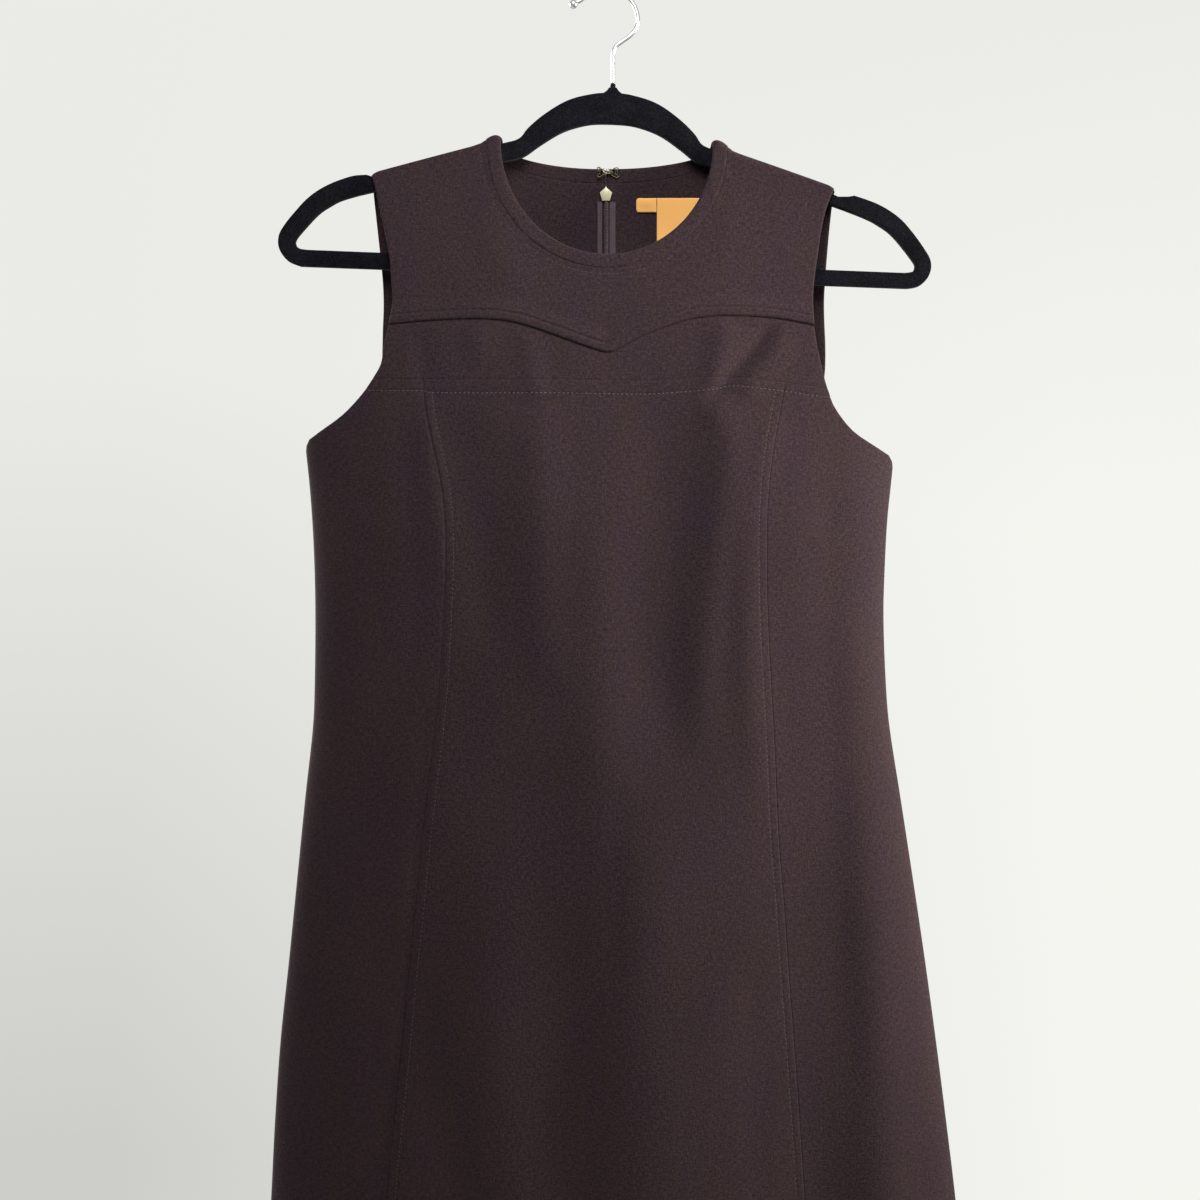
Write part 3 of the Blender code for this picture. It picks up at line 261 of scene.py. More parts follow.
FASTENER_WIRE, HOOK_OVER = 0.36, 1.3          # the hook lies over the eye
TACK_WIRE, TACK_REACH = 0.24, 1.5
FAR = 1e3                    # distance of what has no such edge
ARM_ZONE = 125.0             # places further out than this look for the armhole straight across
ENDS = ("left", "right")     # edges of a grid at its columns' ends
# edges of a grid: its axis, measured from its end
EDGES = {"left": (1, False), "right": (1, True), "first": (0, False), "last": (0, True)}

# rows of topstitches: first place, last place, count of places, height over the cloth
STITCH_ROWS = {
    "neck": (0.04, 1.0, 160, -0.22), "back_neck": (0.04, 0.95, 120, -0.22),
    "yoke": (-143.5, 138.5, 300, -0.08), "chest": (-160, 151, 300, 0.1),
    "princess": (277, 1018, 400, -0.06), "zip": (134, 646, 300, 0.03),
}

# ---- looks and stage, in metres
WARM_SHIFT, PLUM_SHIFT = (1.07, 1.035, 0.91), (0.995, 0.955, 1.06)
CAST_EDGE = 0.00022          # softened edges of the slider and its tab
FLOOR_RADIUS, FLOOR_HEIGHT = 1.45, -1.3
CAMERA_PLACE, CAMERA_LENS, CAMERA_SENSOR = (-0.0041, -1.3, -0.4153), 57.2, 36.0
# lights: name, place, size, height aimed at, spread, share of the window's power, tone
LIGHTS = (
    ("window_light", (1.7, -0.245, -0.17), 0.7, -0.34, 85, 1.0, (1.0, 0.955, 0.88)),
    ("ceiling_light", (0.0, -0.7, 0.35), 0.6, -0.38, 75, 0.161, (0.96, 0.99, 1.0)),
    ("back_light", (-1.35, 1.15, 0.15), 1.2, -0.5, 180, 2.9, (1.0, 0.99, 0.98)),
)
# painted shade and light on the wall behind, darker low on the left and lighter low on the right;
# on the left and on the right: height at its first and last tone, the two tones
WALL_SHADE_TONES = ((-0.27, 0.12, 0.74, 1.0), (0.32, 0.04, 1.0, 1.1))


# ---- reading the tables
def mix(a, b, t):
    return a + (b - a) * t


def ease(t):
    t = np.clip(t, 0.0, 1.0)
    return t * t * (3 - 2 * t)


def bump(distance, half):
    """Soft hump, 1 in the middle."""
    return np.exp(-0.5 * (distance / half) ** 2)


def ripple(along, short, long):
    """Uneven waves along a seam, from -1 to 1."""
    return np.sin(along / short + np.sin(along / long) * 2)


def read(table, at, column=1):
    """Values of a column at places, on a smooth curve through the table's rows."""
    rows = np.array(table, float)
    keys, values = rows[:, 0], rows[:, column]
    low = np.maximum(np.arange(len(keys)) - 1, 0)
    high = np.minimum(np.arange(len(keys)) + 1, len(keys) - 1)
    slope = (values[high] - values[low]) / (keys[high] - keys[low])
    at = np.clip(at, keys[0], keys[-1])
    i = np.clip(np.searchsorted(keys, at, side="right") - 1, 0, len(keys) - 2)
    span = keys[i + 1] - keys[i]
    t = (at - keys[i]) / span
    return ((1 + 2 * t) * (1 - t) ** 2 * values[i] + t * (1 - t) ** 2 * span * slope[i]
            + t * t * (3 - 2 * t) * values[i + 1] - t * t * (1 - t) * span * slope[i + 1])


def smooth_path(points, steps):
    """Points along a smooth curve through given points."""
    points = np.array(points, float)
    path = []
    for i in range(len(points) - 1):
        a, b = points[max(i - 1, 0)], points[i]
        c, d = points[i + 1], points[min(i + 2, len(points) - 1)]
        for t in np.arange(steps) / steps:
            path.append(0.5 * (2 * b + (c - a) * t + (2 * a - 5 * b + 4 * c - d) * t * t
                               + (3 * b - a - 3 * c + d) * t ** 3))
    return np.array(path + [points[-1]])


def by_side(x, left, right):
    return np.where(np.asarray(x) < 0, left, right)


def side_column(side):
    return 1 if side == LEFT else 2


# ---- the hung form
def shoulder_line(x):
    along = x - SHOULDER_MIDDLE
    past = np.abs(along) - SHOULDER_NECK
    past = (past + np.hypot(past, SHOULDER_EASE)) / 2
    down = SHOULDER_DROP + SHOULDER_SLOPE * (SHOULDER_NECK + past - SHOULDER_START)
    return FERRULE_DROP + down * math.cos(HANGER_TILT) + along * math.sin(HANGER_TILT)


def ridge(x):
    """Drop of the cloth's top, with the band's roll at the neck and the rounded shoulder tip."""
    off = np.abs(x) - ROLL_AT
    roll = by_side(x, ROLL_HEIGHT[LEFT], ROLL_HEIGHT[RIGHT]) * bump(off, ROLL_WIDTH)
    fall = ROLL_FALL * (np.clip(-off, 0.0, ROLL_REACH) / ROLL_REACH) ** 2
    past = np.abs(x) - by_side(x, ARMHOLE[0][1], ARMHOLE[0][2]) + TIP_ROUND
    tip = TIP_FALL * (1 - np.sqrt(1 - np.clip(past / TIP_ROUND, 0, 1) ** 2))
    return shoulder_line(x) - roll + fall + tip


def tip_drop(side):
    """Drop of the armhole's highest point."""
    return float(ridge(side * ARMHOLE[0][side_column(side)]))


def half_width(side, drop):
    """Side seam's distance out, at the inside of the cloth."""
    return read(SIDE_SEAMS, drop, side_column(side)) - CLOTH


def edge_out(face, side, drop):
    """Distance out of the armhole edge, and below it of the side seam."""
    top = tip_drop(side) - TIP_FALL
    down = ARMHOLE_DEPTH * (drop - top) / (UNDERARM[side] - top)
    last = ARMHOLE[-1]
    column = side_column(side) + (2 if face == BACK else 0)
    corner = half_width(side, UNDERARM[side])
    low = mix(last[column], corner, (down - last[0]) / (ARMHOLE_DEPTH - last[0]))
    out = np.where(down <= last[0], read(ARMHOLE, down, column), low)
    return np.where(drop >= UNDERARM[side], half_width(side, drop), out)


def fold_lift(face, x, drop):
    """Largest folds: soft ridges and troughs, each along its own line."""
    lift = np.zeros(np.broadcast(x, drop).shape)
    for x_top, top, x_low, low, half, height in FOLDS[face]:
        t = (drop - top) / (low - top)
        run = ease(t * FOLD_RUN) * (ease((1 - t) * FOLD_RUN) if low < HEM[LEFT] else 1.0)
        lift += height * run * bump(x - mix(x_top, x_low, np.clip(t, 0, 1)), half)
    return lift


def crease_lift(face, x, drop):
    """Smaller creases, each a soft trough or ridge that fades at its ends."""
    lift = np.zeros(np.broadcast(x, drop).shape)
    for height, half, *places in CREASES[face]:
        path = smooth_path(places, 6)
        nearest = np.full(lift.shape, 1e9)
        along = np.zeros(lift.shape)
        for k, (a, b) in enumerate(zip(path[:-1], path[1:])):
            run = b - a
            t = np.clip(((x - a[0]) * run[0] + (drop - a[1]) * run[1]) / (run @ run), 0, 1)
            distance = np.hypot(x - a[0] - run[0] * t, drop - a[1] - run[1] * t)
            closer = distance < nearest
            nearest = np.where(closer, distance, nearest)
            along = np.where(closer, (k + t) / (len(path) - 1), along)
        ends = ease(along * 4 + 0.15) * ease((1 - along) * 4 + 0.15)
        lift += height * ends * bump(nearest, half)
    return lift


def stand_off(face, x, drop):
    """How far the inside of the cloth stands ahead of, or behind, the side seams."""
    under = np.clip(drop - ridge(x), 0.0, SHOULDER_ROUND)
    over_arm = np.sqrt(SHOULDER_ROUND ** 2 - (SHOULDER_ROUND - under) ** 2)
    fade_start, fade_end = SHOULDER_FADE
    down = np.maximum(drop - shoulder_line(x), 0.0)
    over_arm = over_arm * (1 - ease((down - fade_start) / (fade_end - fade_start)))
    half = by_side(x, half_width(LEFT, drop), half_width(RIGHT, drop))
    section = (1 - np.minimum(np.abs(x) / half, 1.0) ** SECTION_POWER) ** SECTION_ROUND
    full = read(FULLNESS, down, 1 if face == FRONT else 2)
    crease = bpy.context.scene.dress_cloth.crease * crease_lift(face, x, drop)
    return over_arm + (full + fold_lift(face, x, drop) + crease) * section


def cloth_point(face, x, drop, lift=0.0):
    """Points on the inside of the cloth, in millimetres, moved out by lift."""
    y = face * (LIP + stand_off(face, x, drop) + lift)
    return np.stack(np.broadcast_arrays(x, y, -np.asarray(drop, float)), axis=-1)


def raised_point(face, x, drop, out):
    """Points a distance out from the inside of the cloth, square to it, with that direction."""
    here = cloth_point(face, x, drop)
    across = cloth_point(face, x + 0.05, drop) - cloth_point(face, x - 0.05, drop)
    down = cloth_point(face, x, drop + 0.05) - cloth_point(face, x, drop - 0.05)
    away = np.cross(across, down) * -face
    away *= np.sign(away[..., 1:2] * face + 1e-12)
    away /= np.linalg.norm(away, axis=-1, keepdims=True)
    return here + away * np.asarray(out)[..., None], away


def neck_curve(face, side, offset, share):
    """Place on the neck edge moved out by offset: share 0 at the shoulder, 1 at the centre."""
    angle = share * math.pi / 2
    half = NECK_HALF + offset
    top = ridge(NECK_X + side * half)
    middle = NECK_X * (1 - (share ** 6 if face == BACK else 0.0))
    return middle + side * half * np.cos(angle), mix(top, NECK_FOOT[face] + offset, np.sin(angle))


def across_shoulder(inner, outer, t):
    """Places between two seams, level with the ridge near it and straight further down."""
    x = mix(inner[0], outer[0], t)
    bend = ridge(x) - mix(ridge(inner[0]), ridge(outer[0]), t)
    depth = np.minimum(inner[1] - ridge(inner[0]), outer[1] - ridge(outer[0]))
    return x, mix(inner[1], outer[1], t) + bend * (1 - ease(depth / SHOULDER_BLEND))


def slit(drop):
    """Half the opening of the centre-back seam, which parts round the slider's stem."""
    return LIP + (BACK_SLIT - LIP) * bump(drop - SLIDER_DROP, 2.4)


def beside_slit(side, x, drop, half=None):
    """Places of a back piece moved out from the middle, to leave the slit open."""
    half = slit(drop) if half is None else half
    return x + side * half * np.clip(1 - np.abs(x) / SLIT_EASE, 0, 1)


# ---- grids of cells
def grid_lines(count, near=EDGE_LINES, far=EDGE_LINES):
    """Lines of a grid as share of the way and shift in millimetres, closer at both ends."""
    middle = np.arange(1, count) / count
    share = np.concatenate([np.zeros(len(near)), middle, np.ones(len(far))])
    shift = np.concatenate([near, near[-1] * (1 - middle) - far[-1] * middle,
                            -np.array(far[::-1])])
    return share, shift


def lay(start, end, lines):
    share, shift = lines
    return start + (end - start) * share + np.sign(end - start) * shift


def fill(left, right, bottom, top, columns, rows):
    """Grid between four curves, from x at a drop for the sides and drop at an x for the ends."""
    rows = (rows[0][:, None], rows[1][:, None])
    drop = lay(bottom(0.0), top(0.0), rows) + np.zeros(len(columns[0]))
    for _ in range(FILL_ROUNDS):
        x = lay(left(drop), right(drop), columns)
        drop = lay(bottom(x), top(x), rows)
    return x, drop


def travel(points, axis, back=False):
    """Distance along the grid's lines from their first point, or from their last."""
    step = np.linalg.norm(np.diff(points, axis=axis), axis=-1)
    start = np.zeros_like(np.take(step, [0], axis=axis))
    total = np.concatenate([start, np.cumsum(step, axis=axis)], axis=axis)
    return np.take(total, [-1], axis=axis) - total if back else total


def rounded(distance, reach):
    """0 on an edge, 1 where it has rounded off into the cloth."""
    return np.sqrt(1 - (1 - np.clip(distance / reach, 0, 1)) ** 2)


def topstitch_lift(distance, along, inset=STITCH_IN, puff=0.3, sink=STITCH_SINK):
    """Raised turning beside a seam, the channel of its topstitching, and a slight pucker."""
    turning = puff * ease((inset - distance) / 1.6) * ease(distance / 1.6)
    channel = -sink * bump(distance - inset, 0.55)
    pucker = (ripple(along, 1.9, 7.3) + np.sin(along / 3.1 + 1.3)) * 0.055
    return turning + channel + pucker * bump(distance - inset * 0.7, inset * 0.6)


class Patch:
    """A grid on the form, with its inner and outer surface as distances out from it."""

    def __init__(self, face, x, drop, wall):
        self.face, self.x, self.drop, self.wall = face, x, drop, wall
        self.points = cloth_point(face, x, drop)
        self.low = np.zeros(x.shape)
        self.high = np.full(x.shape, float(wall))
        self.uv = np.stack([x, -drop], axis=-1) * MM

    def distance(self, edge):
        """Distances from an edge that is named, or the given ones as they are."""
        return travel(self.points, *EDGES[edge]) if isinstance(edge, str) else edge

    def shift(self, out):
        self.low += out
        self.high += out

    def trim(self, depth):
        self.low += depth
        self.high -= depth

    def seam(self, edge, sink=SEAM_SINK, inside=0.0, reach=SEAM_REACH):
        distance = self.distance(edge)
        self.high -= self.wall * sink * (1 - rounded(distance, reach))
        self.low += self.wall * inside * (1 - rounded(distance, SEAM_REACH / 2))

    def turned(self, edge, reach=1.0):
        distance = self.distance(edge)
        self.trim(self.wall * (FOLD_TRIM * (1 - rounded(distance, self.wall * reach))))

    def outer_edge(self, edge):
        """Turned armhole edge, which becomes the side seam under the arm."""
        distance = self.distance(edge)
        above = ease((by_side(self.x, UNDERARM[LEFT], UNDERARM[RIGHT]) - self.drop) / 3 + 0.5)
        trim = FOLD_TRIM * (1 - rounded(distance, CLOTH * 0.8)) * above * CLOTH
        self.high -= trim + CLOTH * SEAM_SINK * (1 - rounded(distance, SEAM_REACH)) * (1 - above)
        self.low += trim

    def unroll(self):
        """UV across the cloth by its true width, from the middle of the dress."""
        across = travel(self.points, 1)
        middle = np.argmin(np.abs(self.x), axis=1)[:, None]
        across = across - np.take_along_axis(across, middle, axis=1)
        start = np.take_along_axis(self.x, middle, axis=1)
        self.uv = np.stack([across + start, -self.drop], axis=-1) * MM


def sew(name, face, patches):
    """Mesh of a closed shell: patches welded, inner and outer surface, and the rim between."""
    points = np.concatenate([p.points.reshape(-1, 3) for p in patches])
    places, index = np.unique(np.round(points, 4), axis=0, return_inverse=True)
    index = index.ravel()
    count = np.bincount(index)

    def merged(values):
        return np.bincount(index, weights=values) / count

    low = merged(np.concatenate([p.low.ravel() for p in patches]))
    high = merged(np.concatenate([p.high.ravel() for p in patches]))
    uv = np.concatenate([p.uv.reshape(-1, 2) for p in patches])
    uv = np.stack([merged(uv[:, 0]), merged(uv[:, 1])], axis=-1)
    quads, start = [], 0
    for p in patches:
        rows, columns = p.x.shape
        grid = index[start:start + rows * columns].reshape(rows, columns)
        quads.append(np.stack([grid[:-1, :-1], grid[:-1, 1:], grid[1:, 1:], grid[1:, :-1]],
                              axis=-1).reshape(-1, 4))
        start += rows * columns
    quads = np.concatenate(quads)
    corners = np.sort(quads, axis=1)
    quads = quads[(np.diff(corners, axis=1) > 0).all(axis=1)]
    used, quads = np.unique(quads, return_inverse=True)
    quads = quads.reshape(-1, 4)
    places, low, high, uv = places[used], low[used], high[used], uv[used]
    square = np.cross(places[quads[:, 2]] - places[quads[:, 0]],
                      places[quads[:, 3]] - places[quads[:, 1]])
    if square[:, 1].sum() * face < 0:
        quads, square = quads[:, ::-1], -square
    away = np.zeros_like(places)
    for k in range(4):
        np.add.at(away, quads[:, k], square)
    away /= np.linalg.norm(away, axis=1, keepdims=True)
    outer = places + away * high[:, None]
    inner = places + away * low[:, None]
    edges = np.concatenate([quads[:, [k, (k + 1) % 4]] for k in range(4)])
    known = set(map(tuple, edges.tolist()))
    rim = np.array([edge for edge in edges.tolist() if (edge[1], edge[0]) not in known])
    total = len(places)
    faces = np.concatenate([quads, quads[:, ::-1] + total,
                            np.stack([rim[:, 1], rim[:, 0], rim[:, 0] + total,
                                      rim[:, 1] + total], axis=-1)])
    mesh = bpy.data.meshes.new(name)
    mesh.from_pydata((np.concatenate([outer, inner]) * MM).tolist(), [], faces.tolist())
    layer = mesh.uv_layers.new(name="cloth")
    corner = np.zeros(len(mesh.loops), np.int32)
    mesh.loops.foreach_get("vertex_index", corner)
    layer.data.foreach_set("uv", np.concatenate([uv, uv])[corner].ravel())
    mesh.validate()
    return mesh


# ---- scene helpers
def deselect():
    if bpy.context.object and bpy.context.object.mode != "OBJECT":
        bpy.ops.object.mode_set(mode="OBJECT")
    bpy.ops.object.select_all(action="DESELECT")


def pick(thing):
    deselect()
    thing.select_set(True)
    bpy.context.view_layer.objects.active = thing


def smooth(thing, degrees=40):
    pick(thing)
    bpy.ops.object.shade_smooth_by_angle(angle=math.radians(degrees))


def hand_over(thing, node, material, body=BODY, degrees=40):
    """Finish of a piece: its material, its shading, its body and the node it stands for."""
    thing.data.materials.clear()
    thing.data.materials.append(material)
    smooth(thing, degrees)
    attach(thing, body)
    if node:
        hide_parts(node)


def add_object(name, mesh):
    thing = bpy.data.objects.new(name, mesh)
    bpy.context.scene.collection.objects.link(thing)
    return thing


def cloth_piece(node, face, patches, material=None):
    thing = add_object(node + "_cloth", sew(node + "_cloth", face, patches))
    hand_over(thing, node, material or wool("wool_crepe"))


def apply_modifier(thing, kind, **settings):
    """Adds a modifier, sets it and applies it."""
    pick(thing)
    modifier = thing.modifiers.new(kind.lower(), kind)
    for key, value in settings.items():
        setattr(modifier, key, value)
    bpy.ops.object.modifier_apply(modifier=modifier.name)


def apply_place(thing):
    pick(thing)
    bpy.ops.object.transform_apply(location=True, rotation=True, scale=True)


def edit_mesh(thing, **operators):
    """Runs mesh operators, each with its settings, on all of a mesh."""
    pick(thing)
    bpy.ops.object.mode_set(mode="EDIT")
    bpy.ops.mesh.select_all(action="SELECT")
    for operator, settings in operators.items():
        getattr(bpy.ops.mesh, operator)(**settings)
    bpy.ops.object.mode_set(mode="OBJECT")


def copy_node(node, name):
    """Welded copy of a hard solid, ready for softer edges."""
    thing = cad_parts[node].copy()
    thing.data = thing.data.copy()
    thing.name = name
    for key in list(thing.keys()):
        del thing[key]
    thing.parent = None
    bpy.context.scene.collection.objects.link(thing)
    edit_mesh(thing, remove_doubles=WELD, dissolve_limited={"angle_limit": math.radians(1.0)})
    return thing


def wire(name, points, radius, sides=4, resolution=6):
    """Round wire bent along points in millimetres, as a mesh with round ends."""
    bpy.ops.curve.primitive_bezier_curve_add(location=(0, 0, 0))
    thing = bpy.context.object
    thing.name = name
    curve = thing.data
    spline = curve.splines[0]
    spline.bezier_points.add(len(points) - 2)
    for knot, place in zip(spline.bezier_points, points):
        knot.co = Vector(place) * MM
        knot.handle_left_type = knot.handle_right_type = "AUTO"
        knot.radius = 1.0
    curve.dimensions = "3D"
    curve.bevel_depth = radius * MM
    curve.bevel_resolution = sides
    curve.resolution_u = resolution
    curve.use_fill_caps = True
    pick(thing)
    bpy.ops.object.convert(target="MESH")
    thing = bpy.context.object
    apply_place(thing)
    edit_mesh(thing, remove_doubles=WELD, normals_make_consistent=OUTWARD)
    return thing


def take_shape(seed):
    """Vertices and faces of a seed shape, which is then removed."""
    vertices = np.array([v.co[:] for v in seed.data.vertices])
    faces = [list(p.vertices) for p in seed.data.polygons]
    bpy.data.objects.remove(seed, do_unlink=True)
    return vertices, faces


def repeated(name, placed, faces):
    """One mesh of all copies of a seed shape, whose vertices are placed in millimetres."""
    starts = (np.arange(len(placed)) * placed.shape[1]).tolist()
    mesh = bpy.data.meshes.new(name)
    mesh.from_pydata((placed.reshape(-1, 3) * MM).tolist(), [],
                     [[i + start for i in polygon] for start in starts for polygon in faces])
    return mesh


# ---- materials
def add_node(tree, kind, inputs=None, **settings):
    """A shader node; an input given as a socket is linked, and any other is set."""
    node = tree.nodes.new("ShaderNode" + kind)
    for key, value in settings.items():
        setattr(node, key, value)
    for key, value in (inputs or {}).items():
        if isinstance(value, bpy.types.NodeSocket):
            tree.links.new(value, node.inputs[key])
        else:
            node.inputs[key].default_value = value
    return node


def maths(tree, operation, a, b=0.0, c=0.0):
    return add_node(tree, "Math", {0: a, 1: b, 2: c}, operation=operation).outputs[0]


def blend_colours(tree, factor, a, b, blend="MIX"):
    node = add_node(tree, "Mix", {0: factor, 6: a, 7: b}, data_type="RGBA", blend_type=blend)
    return node.outputs[2]


def object_place(tree):
    return add_node(tree, "TexCoord").outputs["Object"]


def noise(tree, vector, scale, detail=2.0, roughness=0.5):
    return add_node(tree, "TexNoise", {"Vector": vector, "Scale": scale, "Detail": detail,
                                       "Roughness": roughness}).outputs[0]


def stretched(tree, vector, scale):
    return add_node(tree, "Mapping", {"Vector": vector, "Scale": scale}).outputs[0]


def ranged(tree, value, low, high, out_low=0.0, out_high=1.0):
    return add_node(tree, "MapRange", {"Value": value, 1: low, 2: high, 3: out_low,
                                       4: out_high}).outputs[0]


def relief(tree, height, distance, strength, normal=None):
    inputs = {"Height": height, "Distance": distance, "Strength": strength}
    if normal is not None:
        inputs["Normal"] = normal
    return add_node(tree, "Bump", inputs).outputs[0]


def tint(tree, shader, colour, shade):
    """Base colour of a shader, made darker and lighter by a shade."""
    grey = add_node(tree, "CombineColor", {0: shade, 1: shade, 2: shade}).outputs[0]
    tree.links.new(blend_colours(tree, 1.0, colour, grey, "MULTIPLY"), shader.inputs["Base Color"])


def roughen(tree, shader, *bumps):
    tree.links.new(relief(tree, *bumps), shader.inputs["Normal"])


def shared(make):
    """Makes a material once, and gives it again when its name is asked for again."""
    def find_or_make(name, *values, **settings):
        return bpy.data.materials.get(name) or make(name, *values, **settings)
    return find_or_make


def new_material(name, colour, roughness, metallic=0.0, **sockets):
    """Material with its shader, whose even values are set on the shader's own sockets."""
    material = bpy.data.materials.new(name)
    material.use_nodes = True
    tree = material.node_tree
    shader = tree.nodes["Principled BSDF"]
    shader.inputs["Base Color"].default_value = (*colour, 1.0)
    shader.inputs["Roughness"].default_value = roughness
    shader.inputs["Metallic"].default_value = metallic
    for key, value in sockets.items():
        shader.inputs[key.replace("_", " ")].default_value = value
    return material, tree, shader


@shared
def wool(name):
    """Fine stretch wool: crossed yarns, a twill line, loose fibres and slow shade changes."""
    look = bpy.context.scene.dress_cloth
    material, tree, shader = new_material(
        name, look.colour, 0.86, Sheen_Weight=look.sheen, Sheen_Roughness=0.45,
        Sheen_Tint=(0.8, 0.6, 0.68, 1.0), Specular_IOR_Level=0.11)
    place = add_node(tree, "UVMap", uv_map="cloth").outputs[0]
    warp, weft, flecks, clouds, drift = (
        noise(tree, stretched(tree, place, (across, down, 1)), 1.0, detail, rough)
        for across, down, detail, rough in (
            (980, 300, 2.0, 0.6), (300, 980, 2.0, 0.6), (640, 640, 3.0, 0.75),
            (36, 13, 4.0, 0.65), (21, 12, 2.0, 0.5)))
    yarns = maths(tree, "MULTIPLY", maths(tree, "ADD", warp, weft), 0.5)
    twill = add_node(tree, "TexWave", {
        "Vector": place, "Scale": 420.0, "Distortion": 1.2, "Detail": 1.0},
        wave_type="BANDS", bands_direction="DIAGONAL").outputs[1]
    plum, warm = ((*(c * k for c, k in zip(look.colour, shift)), 1)
                  for shift in (PLUM_SHIFT, WARM_SHIFT))
    hue = blend_colours(tree, ranged(tree, clouds, 0.36, 0.64), plum, warm)
    depth = ranged(tree, yarns, 0.38, 0.62, 0.62, 1.38)
    depth = maths(tree, "MULTIPLY", depth, ranged(tree, flecks, 0.34, 0.66, 0.66, 1.34))
    depth = maths(tree, "MULTIPLY", depth, ranged(tree, drift, 0.3, 0.7, 0.94, 1.06))
    tint(tree, shader, hue, depth)
    first = relief(tree, yarns, 0.0005, 0.6)
    second = relief(tree, twill, 0.00012, 0.35, first)
    roughen(tree, shader, flecks, 0.0005, 0.5, second)
    return material


@shared
def thread(name, depth=1.0):
    """Topstitching thread: two plies twisted, a little lighter than the cloth; a depth below 1
    darkens a copy as painted shade, for thread sunk in its channel.
    """
    colour = tuple(c * depth for c in bpy.context.scene.dress_cloth.thread)
    material, tree, shader = new_material(name, colour, 0.6, Sheen_Weight=0.2, Sheen_Roughness=0.4)
    place = object_place(tree)
    shade = ranged(tree, noise(tree, place, 900.0), 0.3, 0.7, 0.6, 1.35)
    tint(tree, shader, (*colour, 1), shade)
    plies = add_node(tree, "TexWave", {"Vector": place, "Scale": 260.0, "Distortion": 2.0},
                     wave_type="BANDS", bands_direction="DIAGONAL").outputs[1]
    roughen(tree, shader, plies, 0.0001, 0.5)
    return material


@shared
def dark_thread(name):
    """Hand-sewn thread, nearly black."""
    material, tree, shader = new_material(name, (0.012, 0.009, 0.01), 0.6, Sheen_Weight=0.2,
                                          Sheen_Roughness=0.4)
    place = object_place(tree)
    roughen(tree, shader, noise(tree, place, 2400.0), 0.0001, 0.5)
    return material


@shared
def woven(name, colour, fine, roughness=0.62, contrast=0.25, sheen=0.15):
    """Flat woven textile with crossed threads: zip tape and labels."""
    material, tree, shader = new_material(name, colour, roughness, Sheen_Weight=sheen,
                                          Sheen_Roughness=0.4)
    place = add_node(tree, "UVMap", uv_map="cloth").outputs[0]
    weave = maths(tree, "MULTIPLY", *(
        add_node(tree, "TexWave", {"Vector": place, "Scale": fine, "Distortion": 0.6,
                                   "Detail": 1.0, "Detail Scale": 2.0},
                 wave_type="BANDS", bands_direction=direction).outputs[1]
        for direction in ("X", "Y")))
    grain = noise(tree, stretched(tree, place, (900, 260, 1)), 1.0, 3.0)
    shade = maths(tree, "MULTIPLY", ranged(tree, weave, 0.0, 1.0, 1 - contrast, 1 + contrast),
                  ranged(tree, grain, 0.3, 0.7, 0.86, 1.14))
    tint(tree, shader, (*colour, 1), shade)
    roughen(tree, shader, weave, 0.0002, 0.5)
    return material


@shared
def flock(name):
    """Flocked plastic: short dense pile, velvet black with a pale rim of sheen."""
    look = bpy.context.scene.dress_hanger
    material, tree, shader = new_material(
        name, look.colour, 0.95, Sheen_Weight=0.06, Sheen_Roughness=0.5,
        Sheen_Tint=(0.7, 0.72, 0.85, 1.0), Specular_IOR_Level=0.05)
    place = object_place(tree)
    pile = noise(tree, place, 950.0, 3.0, 0.7)
    rubbed = noise(tree, place, 60.0, 3.0)
    shade = maths(tree, "MULTIPLY", ranged(tree, pile, 0.32, 0.68, 0.3, 1.9),
                  ranged(tree, rubbed, 0.35, 0.7, 0.85, 1.3))
    tint(tree, shader, (*look.colour, 1), shade)
    roughen(tree, shader, pile, 0.0004, 0.7)
    return material


@shared
def metal(name, colour, roughness, metallic=1.0, wear=0.1, scale=250.0):
    """Plated or enamelled metal with faint scratches and rubbed patches."""
    material, tree, shader = new_material(name, colour, roughness, metallic)
    place = object_place(tree)
    patches = noise(tree, place, scale, 3.0, 0.6)
    scratches = noise(tree, stretched(tree, place, (3000, 3000, 260)), 1.0, 2.0)
    rough = maths(tree, "ADD", ranged(tree, patches, 0.3, 0.7, roughness - wear / 2,
                                      roughness + wear), maths(tree, "MULTIPLY", scratches, wear))
    tree.links.new(rough, shader.inputs["Roughness"])
    dull = (*(c * 0.72 for c in colour), 1)
    tree.links.new(blend_colours(tree, ranged(tree, patches, 0.45, 0.75), (*colour, 1), dull),
                   shader.inputs["Base Color"])
    roughen(tree, shader, scratches, 0.00004, 0.2)
    return material


